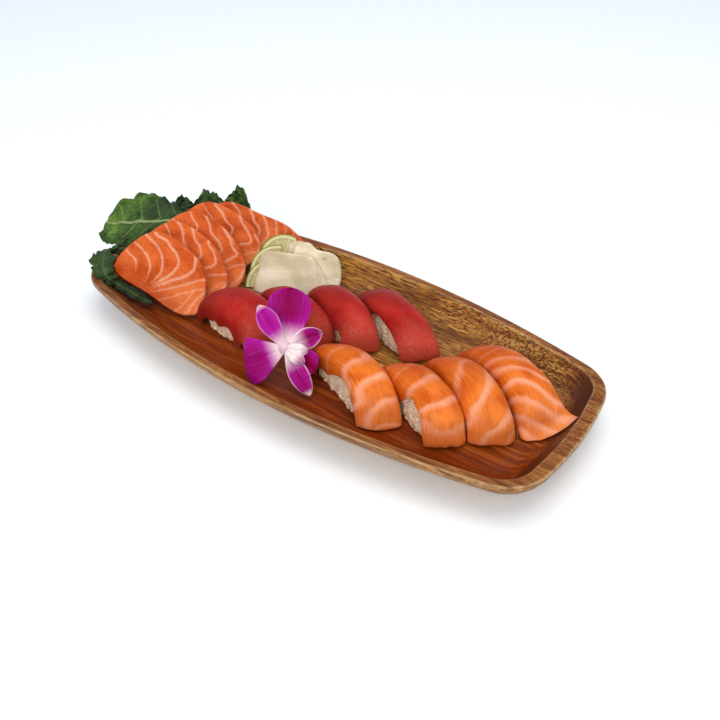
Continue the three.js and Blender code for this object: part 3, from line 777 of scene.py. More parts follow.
TUNA_NIGIRI = [
    dict(x=-52.6, y=-23, turn=-5, length=63, width=29, height=28,
         skew=0.2, spread=(0, 2), bow=0, edges=(0.975, 0.9), tail=0, lifted=(-0.45, 0)),
    dict(x=-27, y=1, turn=-15, length=64, width=21.6, height=25,
         skew=0.3, spread=(0, 2), bow=0, edges=(0.9, 0.9), tail=0, lifted=(0.2, 0.8)),
    dict(x=0.8, y=17.4, turn=-26, length=67, width=23, height=27,
         skew=0.3, spread=(0, 2), bow=-1, edges=(0.9, 0.9), tail=0, lifted=(0.2, 0.8)),
    dict(x=31.5, y=34.6, turn=-27, length=74, width=26.5, height=24.5,
         skew=0.3, spread=(0, 2), bow=0, edges=(0.83, 0.9), tail=0, lifted=(-0.25, 1.3)),
]


def kept_share(share, power=ROUNDNESS):
    """Share of its height that a rounded block keeps at a share of its half width."""
    return np.maximum(0, 1 - np.abs(share) ** power) ** (1 / power)


def lay_down(points, nigiri):
    """Slants and bows a straight nigiri, turns it and rests it on the platter."""
    half = nigiri["length"] / 2 - FISH["thickness"]
    along = points[..., 0] / half
    x = points[..., 0] + nigiri["skew"] * points[..., 1]
    y = points[..., 1] + nigiri["bow"] * (along**2 - 0.5)
    c, s = math.cos(math.radians(nigiri["turn"])), math.sin(math.radians(nigiri["turn"]))
    placed_x, placed_y = nigiri["x"] + c * x - s * y, nigiri["y"] + s * x + c * y
    z = points[..., 2] + well_height(placed_x, placed_y) + GAP
    return np.stack([placed_x, placed_y, z], -1)


print("nigiri:", len(SALMON_NIGIRI), "salmon,", len(TUNA_NIGIRI), "tuna")


# %% The way of a slice over its rice
def along_the_rice(nigiri, run):
    """Place and normal on the rounded block, at a run of -1 to 1 from its one end over the top."""
    half = nigiri["length"] / 2 - FISH["thickness"]
    height = nigiri["height"] - FISH["thickness"]
    angle = run * math.radians(89)  # nearly straight down at both ends
    bend = 2 / ROUNDNESS
    x = half * np.sign(angle) * np.abs(np.sin(angle)) ** bend
    z = height * np.cos(angle) ** bend
    normal_x = np.sign(x) * np.abs(x / half) ** (ROUNDNESS - 1) / half
    normal_z = (z / height) ** (ROUNDNESS - 1) / height
    size = np.hypot(normal_x, normal_z)
    return x, z, normal_x / size, normal_z / size


def across_the_rice(nigiri, run, over, seed):
    """Share of the half width, for an over of -1 to 1 from the near edge to the far one."""
    near, far = nigiri["edges"]
    # the near edge hangs low at the ends and is lifted between them
    start, stop = nigiri["lifted"]
    lifted = smooth_step(start - 0.15, start + 0.3, run) * smooth_step(stop + 0.1, stop - 0.15, run)
    near = kept_share(lifted * kept_share(near, FISH["crown"]), FISH["crown"])
    y = (over + 1) / 2 * (near + far) - near
    return y + 0.02 * unevenness(run * 50, over * 3, 17, seed) * np.abs(over) ** 4


top = along_the_rice(TUNA_NIGIRI[0], np.array(0.0))[1]
print("the first tuna slice rests", float(top), "mm above the board")

# %% The slice over the rice
DRAWN_LENGTH, DRAWN_WIDTH = 100, 28  # mm over which a slice's lines and fibres are drawn


def draped_slice(name, nigiri, finish, slot, lines, seed):
    """A slice of fish from one end of the rice over its top to the other."""
    columns, rows = (230, 72) if lines else (130, 44)  # thin lines of fat need a fine grid
    run = np.linspace(-1, 1, columns + 1)
    run = 0.6 * run + 0.4 * np.sin(run * math.pi / 2)  # more columns near the ends
    over = np.sin(np.linspace(-1, 1, rows + 1) * math.pi / 2)
    run, over = np.meshgrid(run, over, indexing="ij")
    x, z, normal_x, normal_z = along_the_rice(nigiri, run)
    y = across_the_rice(nigiri, run, over, seed)
    side = nigiri["width"] / 2
    height = nigiri["height"] - FISH["thickness"]
    # where an edge hangs straight down no height is kept, and the slope has to stay a number
    kept = np.maximum(kept_share(y, FISH["crown"]), 1e-6)
    slope = np.sign(y) * height * (np.abs(y) / kept) ** (FISH["crown"] - 1) / side

    # its thickness is less at the ends and edges, which are rounded off
    thick = FISH["thickness"] * (1 - 0.35 * np.abs(run) ** 8)
    thick = thick + (FISH["side"] - thick) * np.abs(over) ** 2.5
    soft = (1 - np.abs(run) ** 34) ** 0.5 * (1 - np.abs(over) ** 14) ** 0.5

    # what the finish reads: the place on the slice, and how near a line of fat is
    s_mm, t_mm = (run + 1) / 2 * DRAWN_LENGTH, (over + 1) / 2 * DRAWN_WIDTH
    flesh = np.stack([s_mm, t_mm, np.full_like(s_mm, 40.0 * seed)], -1).reshape(-1, 3)
    routes = [
        (width, strength, [(s * DRAWN_LENGTH, t * DRAWN_WIDTH) for s, t in route])
        for width, strength, route in lines
    ]
    fat = near_lines(flesh[:, :2], routes, 1.12) if routes else np.zeros(len(flesh))

    # the top and the underside: both bend down at the edges, spread at the foot and trail off
    surfaces = []
    size = np.sqrt(1 + slope**2)
    wave = FISH["wave"] * unevenness(run * 50, over * 14, 26, seed)
    wave = wave - FISH["groove"] * fat.reshape(run.shape)
    for lift in (0.5 + 0.5 * soft, 0.5 - 0.5 * soft):
        out = lift * thick + wave * soft * (lift > 0.5)
        px = x - FISH["pull"] * normal_x * height * (1 - kept) + normal_x / size * out
        py = y * side + slope / size * out
        pz = np.maximum(z - normal_z * height * (1 - kept) + normal_z / size * out, 0)
        spread = np.where(run < 0, nigiri["spread"][0], nigiri["spread"][1])
        px = px + np.sign(run) * spread * np.maximum(0, 1 - pz / 10) ** 2
        px = px + 0.7 * unevenness(over * 14, 5.0 * seed, 8, seed) * run**15
        trail = nigiri["tail"] * ((run + 1) / 2) ** 8 * ((over + 1) / 2) ** 3
        surfaces.append(lay_down(np.stack([px + trail, py + trail, pz], -1), nigiri))
    points, faces = sheet(*surfaces)
    # painted shade darkens the far end and the far edge, and painted light makes the near end paler
    thin = 0.4 * np.abs(over) ** 6 * (over > 0) + 0.75 * smooth_step(0.3, -0.6, run)
    near_end = smooth_step(0.2, 0.9, run) * (0.32 if slot == "salmon" else 1)
    marks = {"flesh": np.concatenate([flesh, flesh + [0, 0, 5]])}
    marks.update(on_both(fat=fat, thin=thin, near_end=near_end))
    nodes = [f"{slot}_nigiri_{name[-1]}_fish"]
    return make_piece(name, points, faces, finish, nodes, marks)


print("a slice's finish is drawn over", DRAWN_LENGTH, "x", DRAWN_WIDTH, "mm")

# %% Lines of fat on the four salmon slices, as shares along and across each slice
NIGIRI_FAT = [
    [
        (2, 0.55, [(0.3, 0.98), (0.343, 0.69), (0.398, 0.35), (0.427, 0.14), (0.455, 0.015)]),
        (3, 0.85, [(0.43, 1), (0.45, 0.84), (0.505, 0.595), (0.517, 0.345), (0.535, 0.16),
            (0.575, 0.065), (0.625, 0.045), (0.7, 0)]),
        (3.4, 0.9, [(0.56, 1), (0.608, 0.805), (0.647, 0.575), (0.662, 0.39), (0.693, 0.23),
            (0.723, 0.18), (0.765, 0.165), (0.805, 0.13), (0.84, 0)]),
        (3.8, 0.95, [(0.77, 1), (0.795, 0.76), (0.802, 0.635), (0.833, 0.465), (0.87, 0.325),
            (0.917, 0.245), (0.965, 0.205), (1, 0.18)]),
        (1.8, 0.8, [(1, 0.3), (0.985, 0.37), (0.965, 0.485), (0.96, 0.705), (0.983, 0.9)]),
        (1.6, 0.5, [(0.22, 1), (0.26, 0.65), (0.3, 0.35), (0.33, 0.02)]),
        (2.2, 0.7, [(0.1, 0.95), (0.14, 0.6), (0.16, 0.3), (0.15, 0.02)]),
    ],
    [
        (1.8, 0.55, [(0.45, 0), (0.435, 0.105), (0.41, 0.28), (0.34, 0.66), (0.33, 1)]),
        (3, 0.8, [(0.56, 0), (0.547, 0.13), (0.532, 0.275), (0.503, 0.54), (0.48, 0.74),
            (0.465, 1)]),
        (3.4, 0.85, [(0.725, 0), (0.713, 0.095), (0.7, 0.21), (0.69, 0.39), (0.675, 0.605),
            (0.635, 0.785), (0.6, 1)]),
        (4.8, 0.6, [(0.78, 0), (0.82, 0.125), (0.855, 0.19), (0.875, 0.325), (0.875, 0.525),
            (0.863, 0.705), (0.838, 0.83), (0.81, 1)]),
        (2.2, 0.6, [(0.32, 0), (0.28, 0.4), (0.22, 1)]),
        (2, 0.6, [(0.16, 0), (0.12, 0.4), (0.08, 1)]),
    ],
    [
        (2.4, 0.7, [(0.35, 0.8), (0.398, 0.495), (0.47, 0.31), (0.51, 0.195), (0.555, 0.12),
            (0.6, 0.085), (0.66, 0)]),
        (3.2, 0.9, [(0.4, 1), (0.43, 0.9), (0.482, 0.825), (0.542, 0.72), (0.603, 0.585),
            (0.662, 0.43), (0.698, 0.32), (0.728, 0.235), (0.763, 0.17), (0.802, 0.13), (0.86, 0)]),
        (3.2, 0.9, [(0.66, 1), (0.753, 0.875), (0.8, 0.78), (0.838, 0.675), (0.87, 0.56),
            (0.89, 0.435), (0.92, 0.33), (0.965, 0.27), (1, 0.24)]),
        (2.2, 0.6, [(0.88, 1), (0.902, 0.87), (0.95, 0.8), (0.99, 0.78)]),
        (2.4, 0.7, [(0.1, 0.98), (0.16, 0.6), (0.24, 0.3), (0.3, 0)]),
    ],
    [
        (1.8, 0.6, [(0.38, 0), (0.385, 0.085), (0.388, 0.17), (0.383, 0.295), (0.372, 0.5),
            (0.357, 0.745), (0.35, 1)]),
        (2.4, 0.8, [(0.44, 0), (0.45, 0.135), (0.455, 0.225), (0.463, 0.37), (0.475, 0.575),
            (0.49, 0.74), (0.51, 1)]),
        (2.6, 0.85, [(0.495, 0), (0.503, 0.11), (0.512, 0.195), (0.52, 0.315), (0.535, 0.455),
            (0.555, 0.59), (0.588, 0.685), (0.62, 0.76), (0.67, 1)]),
        (3, 0.95, [(0.6, 0.02), (0.603, 0.135), (0.6, 0.215), (0.613, 0.3), (0.638, 0.4),
            (0.67, 0.51), (0.718, 0.62), (0.76, 0.715), (0.8, 0.8), (0.86, 1)]),
        (3.4, 0.95, [(0.69, 0.02), (0.71, 0.115), (0.728, 0.185), (0.76, 0.285), (0.795, 0.42),
            (0.84, 0.575), (0.897, 0.71), (0.94, 0.805), (0.98, 0.92)]),
        (3.2, 0.9, [(0.82, 0.02), (0.853, 0.12), (0.888, 0.225), (0.92, 0.365), (0.953, 0.505),
            (0.99, 0.63)]),
        (3, 0.8, [(0.94, 0.08), (0.963, 0.15), (1, 0.25)]),
        (3.4, 0.9, [(1, 0.835), (1, 0.95)]),
        (1.8, 0.5, [(0.3, 0), (0.31, 0.3), (0.3, 0.6), (0.28, 1)]),
        (2, 0.6, [(0.15, 0), (0.19, 0.4), (0.17, 1)]),
    ],
]
for number, (nigiri, lines) in enumerate(zip(SALMON_NIGIRI, NIGIRI_FAT), 1):
    draped_slice(f"salmon_over_rice_{number}", nigiri, salmon_loin, "salmon", lines, number)
for number, nigiri in enumerate(TUNA_NIGIRI, 1):
    draped_slice(f"tuna_over_rice_{number}", nigiri, lean_tuna, "tuna", [], number + 4)


# %% Grains of rice
def rice_grain():
    """One plump grain along X: points of a low sphere stretched, and its faces."""
    around, along = 8, 5
    angles = np.linspace(0, math.pi, along + 2)[1:-1]
    turn = np.linspace(0, 2 * math.pi, around, endpoint=False)
    rings = np.array(
        [
            [(-math.cos(a), math.sin(a) * math.cos(b), math.sin(a) * math.sin(b)) for b in turn]
            for a in angles
        ]
    )
    points, faces = skin(rings, (-1, 0, 0), (1, 0, 0))
    return points * [2.9, 1.35, 1.2], faces


GRAINS = 270  # in one block
EVEN_STEPS = (0.7548777, 0.5698403)  # steps that spread points evenly over a surface
ROOM = 0.7  # between the rice and the slice over it
CORE_DEPTH = 0.7  # how far the core lies under the surface of the block
BULGE = 1.1  # the rice swells out from under the slice on its near side


def pressed_rice(name, nigiri, node, seed):
    """A core covered with grains that lie in its surface, all one piece."""
    chance = np.random.default_rng(seed)
    outer = np.array([nigiri["length"] / 2, nigiri["width"] / 2, nigiri["height"]])
    size = outer - [FISH["thickness"], 0, FISH["thickness"]] - ROOM
    bend = 2 / ROUNDNESS

    def surface(level, angle, inset):
        c, s = np.cos(angle), np.sin(angle)
        share = kept_share(level)
        x = (size[0] * share - inset) * np.sign(c) * np.abs(c) ** bend
        y = (size[1] * share - inset) * np.sign(s) * np.abs(s) ** bend
        return np.stack([x, y, (size[2] - inset) * level], -1)

    levels, turns = np.linspace(0.02, 0.92, 12), np.linspace(0, 2 * math.pi, 48, endpoint=False)
    core = surface(*np.meshgrid(levels, turns, indexing="ij"), CORE_DEPTH)
    core_points, core_faces = skin(core, (0, 0, 0.1), (0, 0, size[2] - CORE_DEPTH))
    core_points[:, 1] *= np.where(core_points[:, 1] < 0, BULGE, 1)
    parts, faces, tints = [core_points], list(core_faces), [np.full(len(core_points), 0.8)]
    grain, grain_faces = rice_grain()
    start = len(core_points)
    for i in range(GRAINS):
        # it sits somewhere up and round the block, a little inside its surface
        level = 0.04 + 0.78 * ((i * EVEN_STEPS[0] + 0.3) % 1)
        angle = 2 * math.pi * ((i * EVEN_STEPS[1]) % 1) + chance.uniform(-0.05, 0.05)
        spot = surface(level, angle, 0.95 + chance.uniform(-0.2, 0.2))
        # and lies along a random direction, mostly in the surface
        out = spot / size**2
        out = out / np.linalg.norm(out)
        along = chance.normal(size=3)
        along = along - out * (along @ out) * chance.uniform(0.75, 1)
        along = along / np.linalg.norm(along)
        side = np.cross(out, along)
        side = side / np.linalg.norm(side)
        frame_of_grain = np.stack([along, side, np.cross(along, side)])
        placed = spot + (grain * chance.uniform(0.9, 1.12)) @ frame_of_grain
        # the slice presses the grains flat
        reach = np.abs(placed) / (size + 0.25)
        over = (reach**ROUNDNESS).sum(1) ** (1 / ROUNDNESS)
        placed = placed / np.maximum(over, 1)[:, None]
        placed[:, 2] = np.maximum(placed[:, 2], 0.05)
        placed[:, 1] *= np.where(placed[:, 1] < 0, BULGE, 1)
        parts.append(placed)
        faces += [tuple(start + k for k in face) for face in grain_faces]
        tints.append(np.full(len(grain), chance.uniform()))
        start += len(grain)
    points = lay_down(np.concatenate(parts), nigiri)
    make_piece(name, points, faces, cooked_rice, [node], {"grain": np.concatenate(tints)})


for fish, row in (("salmon", SALMON_NIGIRI), ("tuna", TUNA_NIGIRI)):
    for number, nigiri in enumerate(row, 1):
        seed = number + (4 if fish == "tuna" else 0)
        pressed_rice(f"rice_under_{fish}_{number}", nigiri, f"{fish}_nigiri_{number}_rice", seed)

# %% [markdown]
# ## The fan of sliced salmon
# Five thick slices of one fillet lean on each other, from the near side to the far. A slice is
# cut, not moulded: an outline with a pointed end and a broad end, two flat faces and edges that
# are only just rounded. So it is a skin through the outline drawn in towards its middle, made
# thinner towards the broad end. The lines of fat are arcs at the pointed end and fan out below.

# %% Slices that lean
# mm and degrees; the thinning is the share of its thickness that a slice loses along its length
SLICE = {"thickness": 8, "lean": 45, "pitch": 14, "length": 77, "thinning": 0.55}
SLICE_OUTLINE = [(45, 40), (17, 39), (5, 24), (2, 1), (36, -1)]
# the corner on which each one stands, its turn, how much of its height it keeps, and its end
SLICES = [
    dict(corner=(-159, -43, 30), turn=3, rise=1, end=[(66, 0), (76, 8), (72, 22), (63, 33)]),
    dict(corner=(-159, -26.5, 30), turn=5, rise=1, end=[(66, 0), (77, 8), (75, 22), (63, 33)]),
    dict(corner=(-159, -10, 30), turn=7, rise=1, end=[(66, 0), (77, 8), (75, 22), (63, 33)]),
    dict(corner=(-158, 7, 29), turn=11, rise=1, end=[(56, 0), (66, 9), (70.5, 21), (63, 33)]),
    dict(corner=(-150, 24, 27), turn=18, rise=0.88, end=[(72, 0), (96, 6), (92, 23), (70, 38)]),
]
EASED = 0.28  # share of a slab's thickness over which each of its edges is rounded


def cut_slab(cut, thickness, front_steps, edge_share=0.95):
    """A slab with eased edges: its front face at z = 0, as rings from the front to the back."""
    middle = cut.mean(0)
    # each ring is the cut drawn in by a share, at a height in shares of the thickness
    eased = [
        (edge_share + (1 - edge_share) * math.sin(angle), EASED * (1 - math.cos(angle)))
        for angle in np.radians(np.linspace(15, 90, 6))
    ]
    stations = [(share, 0.0) for share in np.linspace(0.03, edge_share, front_steps)]
    stations += [(share, -down) for share, down in eased]
    stations += [(1.0, -0.5)]
    stations += [(share, -1 + down) for share, down in reversed(eased)]
    stations += [(share, -1.0) for share in np.linspace(edge_share, 0.05, 14)]
    rings = [
        np.concatenate(
            [middle + (cut - middle) * share, np.full((len(cut), 1), height * thickness)], 1
        )
        for share, height in stations
    ]
    return skin(np.array(rings), (*middle, 0), (*middle, -thickness))


def lean_on(points, corner, turn, pitch, lean):
    """Tilts a flat slab into its place and lifts what would sink into the platter."""
    placed = points @ turned(turn, pitch, lean).T + np.array(corner)
    floor_below = well_height(placed[:, 0], placed[:, 1]) + GAP
    placed[:, 2] = np.maximum(placed[:, 2], floor_below)
    return placed


print("a slab has", len(cut_slab(outline_of(SLICE_OUTLINE, 40), 8, 10)[0]), "points")

# %% Lines of fat in the fan, in millimetres along and up each slice
SLICE_FAT = [
    [
        (1.2, 0.7, [(4.4, 7.8), (7.8, 6.4), (11, 4.2), (12.5, 0)]),
        (1.7, 0.8, [(5, 17), (7, 15.5), (11, 14.4), (14.9, 12.6), (17.5, 10), (19.4, 6.3),
            (21.2, 1.9)]),
        (1.8, 0.85, [(7, 24), (10.1, 23.5), (15.5, 22.5), (20.4, 21.2), (23.8, 19.1), (26.4, 15.9),
            (27.9, 12), (28.5, 8.3), (28.5, 0)]),
        (2.0, 0.85, [(9, 33), (12.5, 32.4), (18.8, 31.2), (24.5, 29.7), (29, 27.6), (32.2, 24.7),
            (34.7, 20.7), (35.7, 15.8), (35.7, 13.1), (33, 5), (30, -1)]),
        (2.2, 0.95, [(17, 38), (21.2, 36.7), (26.5, 36.9), (33.3, 34.7), (39.2, 32.8), (43, 29.6),
            (44.2, 25.6), (44.1, 21.5), (41.7, 16), (35.8, 6.7), (32, -1)]),
        (2.2, 0.9, [(50, 40), (54.5, 34.9), (56.2, 31.2), (55.3, 27.3), (52.5, 22.4), (46.3, 16),
            (41.1, 10.2), (35.8, 4.4), (33, -1)]),
        (1.5, 0.8, [(70, 31), (66.9, 28.8), (61, 23.3), (54.8, 16.9), (48.4, 10.8), (41.6, 5.1),
            (36.5, 1.4), (34, -1)]),
        (1.3, 0.7, [(70, 23), (65.3, 19.2), (61.7, 15.7), (57, 11.6), (52.9, 6.4), (49.1, 3.1),
            (45.2, -0.5)]),
        (1.3, 0.7, [(65.3, 19.2), (64.6, 14.7), (63.7, 9.5), (63, 5), (60.4, 0.1), (56.7, -3.4)]),
        (2.0, 0.75, [(72.3, 27), (72.3, 25.3), (71.4, 20.1), (69.9, 14.6), (69.1, 9.3), (68.7, 4.5),
            (66.9, -0.7)]),
        (1.4, 0.6, [(75.5, 18), (74.4, 12), (73.4, 6), (72.6, 1)]),
    ],
    [
        (1.4, 0.8, [(12, 34), (16.8, 30.8), (20.5, 28.7), (22.7, 27.1), (26, 20), (27, 8),
            (25, 0)]),
        (1.8, 0.9, [(19, 40), (23, 38.3), (27.4, 34.5), (31.1, 31.1), (35.1, 27.8), (37, 26.2),
            (39, 18), (36, 6), (32, -1)]),
        (2.0, 0.9, [(31, 41), (33.7, 38.7), (38, 35.5), (42.5, 33.3), (45.5, 30.9), (48.3, 27.7),
            (48, 24.7), (44, 16), (37, 6), (33, -1)]),
        (2.0, 0.9, [(46, 41), (48.9, 38.2), (54.1, 34.9), (58.3, 31.8), (61, 28.7), (59.6, 25.1),
            (55.9, 21.8), (48, 13), (38, 3)]),
        (1.5, 0.75, [(72, 26), (68.3, 23.2), (60.4, 18.2), (52, 10), (44, 2)]),
        (1.8, 0.75, [(66, 33), (71, 30), (74.5, 24), (75, 16), (73, 8), (70, 1)]),
        (1.3, 0.6, [(73, 20), (70, 14), (66, 7), (60, 0)]),
    ],
    [
        (1.4, 0.8, [(17, 38), (21, 35.6), (25.2, 33), (28.3, 29.8), (31, 20), (29, 4)]),
        (2.0, 0.95, [(28, 42), (31.6, 39.7), (35.8, 36.4), (39.4, 32.8), (43.9, 30.4), (48.9, 28.2),
            (52.5, 24.7), (48, 14), (38, 2)]),
        (2.0, 0.95, [(43, 41), (46.9, 38.8), (51.9, 36.6), (56.6, 33.6), (60.8, 30.3), (64.6, 27.6),
            (62.5, 23.8), (59.4, 19.4), (50, 9), (42, 0)]),
        (1.5, 0.75, [(75, 25), (71.7, 23.2), (66.8, 19.2), (64.2, 16.4), (56, 8), (50, 1)]),
        (1.8, 0.75, [(66, 34), (71, 30), (74.5, 24), (75.5, 16), (73, 8), (70, 1)]),
        (1.4, 0.7, [(7, 28), (12, 25), (16, 18), (17, 4)]),
    ],
    [
        (1.4, 0.7, [(13, 36), (16.5, 34.1), (20.7, 31.9), (25.3, 29.9), (29, 20), (28, 2)]),
        (2.0, 0.9, [(23, 40), (26.7, 38.2), (31.7, 35.7), (37.1, 32.1), (41.8, 30.1), (44.1, 28.5),
            (44, 18), (36, 2)]),
        (2.0, 0.9, [(33, 45), (36.4, 44.1), (41.9, 41.9), (46.8, 38.1), (51.8, 34.3), (57.2, 30.7),
            (59.9, 28.5), (60, 25), (55.4, 22.2), (48, 12), (40, 0)]),
        (1.6, 0.7, [(61.5, 33), (66, 29), (69, 24), (69, 16), (64, 6)]),
        (1.5, 0.7, [(68, 22), (63, 18), (56, 10), (50, 2)]),
    ],
    [
        (1.6, 0.8, [(21, 35), (25.3, 32.1), (29.2, 29.6), (31.8, 26.5), (33, 14), (30, 0)]),
        (2.0, 0.9, [(32, 37), (35.5, 35.5), (39.3, 31.6), (42.8, 28.2), (47.1, 24.5), (48.7, 21.7),
            (46, 12), (38, 0)]),
        (1.8, 0.85, [(42, 37), (45.7, 34.2), (49.8, 31), (52.7, 27.4), (55.3, 23.7), (54, 14),
            (46, 0)]),
        (1.6, 0.75, [(56, 35), (57.9, 32.9), (60.2, 29), (62, 23), (60, 12), (54, 0)]),
        (1.4, 0.7, [(68, 34), (70, 33.5), (73.4, 30), (75, 24), (72, 10)]),
        (1.3, 0.6, [(64, 34), (66.5, 29), (68, 22), (65, 10)]),
    ],
]
for number, (row, lines) in enumerate(zip(SLICES, SLICE_FAT), 1):
    cut = outline_of([*SLICE_OUTLINE, *row["end"]], 330) * [1, row["rise"]]
    flat, faces = cut_slab(cut, SLICE["thickness"], 52)
    x, y = flat[:, 0], flat[:, 1]
    flesh = np.stack([x, y, flat[:, 2] + 40.0 * number], -1)
    fat = near_lines(flat[:, :2] + 0.5 * unevenness(x, y, 11, number)[:, None], lines, 0.85)
    fat = fat * (1 - 0.75 * smooth_step(15, 5, y) * smooth_step(44, 34, x))
    # the front face waves gently and has a groove at each line
    flat[:, 2] += 0.35 * unevenness(x, y, 24, number) - 0.25 * fat * (flat[:, 2] > -1)
    flat[:, 2] *= 1 - SLICE["thinning"] * (x / SLICE["length"]) ** 2
    placed = lean_on(flat, row["corner"], row["turn"], SLICE["pitch"], SLICE["lean"])
    # painted shade darkens the foot of each slice, and painted light makes the lower part of its
    # broad end paler
    marks = {"flesh": flesh, "fat": fat, "thin": 0.35 * smooth_step(14, 2, y) * (x < 60)}
    marks["near_end"] = 0.35 * smooth_step(30, 66, x) * smooth_step(32, 12, y)
    nodes = [f"salmon_slice_{number}"]
    make_piece(f"salmon_slice_piece_{number}", placed, faces, salmon_slab, nodes, marks)

# %% [markdown]
# ## White fish
# The white fish is cut thinner and is nearly clear at its edges: cream where it is thick, a
# little pink and grey where it is thin, with broad soft bands instead of lines. The slabs lean
# together. The first one was cut at a slant at its right end, and the second has a grey vein.

# %% White fish finish
white_fillet, tree = start_finish(
    "white_fillet",
    {
        "Subsurface Weight": 0.4,
        "Subsurface Radius": (1.0, 0.75, 0.5),
        "Subsurface Scale": 0.003,
        "IOR": 1.38,
        "Coat Weight": 0.35,
        "Coat Roughness": 0.2,
    },
)
flesh = add_node(tree, "Attribute", attribute_name="flesh").outputs["Vector"]
bands, fibres = grow_patterns(tree, flesh, (20, 11, 9, 1), (5, 1.6, 3, 2), turn=0.5)
tone = add_node(tree, "Mix", {"Factor": 0.22, "A": bands, "B": fibres}, data_type="FLOAT")
cream = add_node(
    tree, "ValToRGB", {"Fac": tone}, stops=[(0.36, "#c4b690"), (0.5, "#d5c8a5"), (0.64, "#e9dfc6")]
)
coats = [("rosy", "#cda690"), ("bruise", "#8d8674")]
end_finish(white_fillet, cream, coats, (bands, 0.32, 0.48), (tone, 0.2, 0.0004))

# %% White fish
# the corner that its cuts are measured from, in mm, and how the slabs turn and lean, in degrees
WHITE_FISH = {"corner": (-74, 16, 11), "turn": 22, "lean": 50, "thickness": 4.4}
WHITE_CUTS = [
    # how far behind the front face, and the corners in mm
    (0, [(-4, 0), (20, -1), (46, 1), (49, 8), (47, 13.5), (38, 27), (34, 29.6), (20, 30),
         (0, 29), (-3, 26), (-3, 14)]),
    (5, [(22, 6), (36, 5), (54, 7), (56.5, 15), (55, 26), (51, 33), (46, 35), (36, 36),
         (29, 40), (21, 38), (19, 24)]),
    (10, [(15, 27), (25, 26), (31, 30), (30, 37), (22, 41), (14, 38)]),
]
BRUISE = (42.5, 30)  # a small grey vein near the top of the second slab
for number, (back, corners) in enumerate(WHITE_CUTS, 1):
    cut = outline_of(corners, 200)
    flat, faces = cut_slab(cut, WHITE_FISH["thickness"], 30, 0.87)
    x, y = flat[:, 0], flat[:, 1]
    flesh = np.stack([x, y, flat[:, 2] + 30.0 * number], -1)
    rosy = 0.35 * smooth_step(14, -2, y + 0.2 * x) + 0.12 * unevenness(x, y, 20, number)
    # the first slab was cut at a slant at its right end, which leaves a low facet there
    past_crease = np.maximum(0, x - 43.5 + 0.26 * y) * (number == 1)
    flat[:, 2] -= 0.34 * past_crease * (1 + flat[:, 2] / WHITE_FISH["thickness"])
    rosy = rosy + 0.3 * smooth_step(0, 2, past_crease)
    flat[:, 2] += 0.3 * unevenness(x, y, 19, number + 3) - back
    placed = lean_on(flat, WHITE_FISH["corner"], WHITE_FISH["turn"], 0, WHITE_FISH["lean"])
    from_bruise = np.hypot((x - BRUISE[0]) / 1.5, (y - BRUISE[1]) / 0.9)
    marks = {"flesh": flesh, "rosy": np.clip(rosy, 0, 1)}
    marks["bruise"] = 0.8 * np.exp(-(from_bruise**2)) * (number == 2)
    name, nodes = f"white_fish_piece_{number}", [f"white_fish_{number}"]
    make_piece(name, placed, faces, white_fillet, nodes, marks)

# %% [markdown]
# ## Lime
# Thin wheels of lime stand on a cut edge behind the white fish. Across a wheel the eye meets a
# green rind, a pale pith and then clear flesh in wedges. The mesh keeps each point's distance
# from the round edge and its angle, and the finish turns these into rings and wedges.

# %% Lime finish
cut_lime, tree = start_finish(
    "cut_lime",
    {
        "Subsurface Weight": 0.35,
        "Subsurface Radius": (0.8, 1.0, 0.4),
        "Subsurface Scale": 0.002,
        "IOR": 1.36,
        "Coat Weight": 0.3,
        "Coat Roughness": 0.2,
    },
)
in_from_rind = add_node(tree, "Attribute", attribute_name="from_rind").outputs["Fac"]
juice = add_node(tree, "Attribute", attribute_name="flesh").outputs["Vector"]
(sacs,) = grow_patterns(tree, juice, (1.1, 1.1, 1.1, 2))
blurred = add_node(tree, "Math", {0: sacs, 1: 0.5, 2: in_from_rind}, operation="MULTIPLY_ADD")
depth = add_node(tree, "MapRange", {"Value": blurred, "From Min": 0, "From Max": 6})
rings_of_lime = add_node(
    tree,
    "ValToRGB",
    {"Fac": depth},
    stops=[
        (0.08, "#6c7a1f"),
        (0.19, "#9fa546"),
        (0.28, "#dbd6a0"),
        (0.46, "#d5cd96"),
        (0.6, "#ada25e"),
        (0.85, "#bfb27a"),
    ],
)
wedge = add_node(tree, "Attribute", attribute_name="wedge").outputs["Fac"]
walls = add_node(tree, "ValToRGB", {"Fac": wedge}, stops=[(0.02, 0.5), (0.08, 0.0)])
inside = add_node(tree, "MapRange", {"Value": in_from_rind, "From Min": 2.6, "From Max": 3.4})
wall_here = add_node(tree, "Math", {0: walls, 1: inside}, operation="MULTIPLY")
coats = [(wall_here, "#d9d8a4")]
end_finish(cut_lime, rings_of_lime, coats, (sacs, 0.25, 0.45), (sacs, 0.35, 0.0004))

# %% Lime slices
LIME = {"corner": (-83.2, 17.5, 12.5), "turn": 40, "lean": 50, "thickness": 2.6, "wedges": 10}
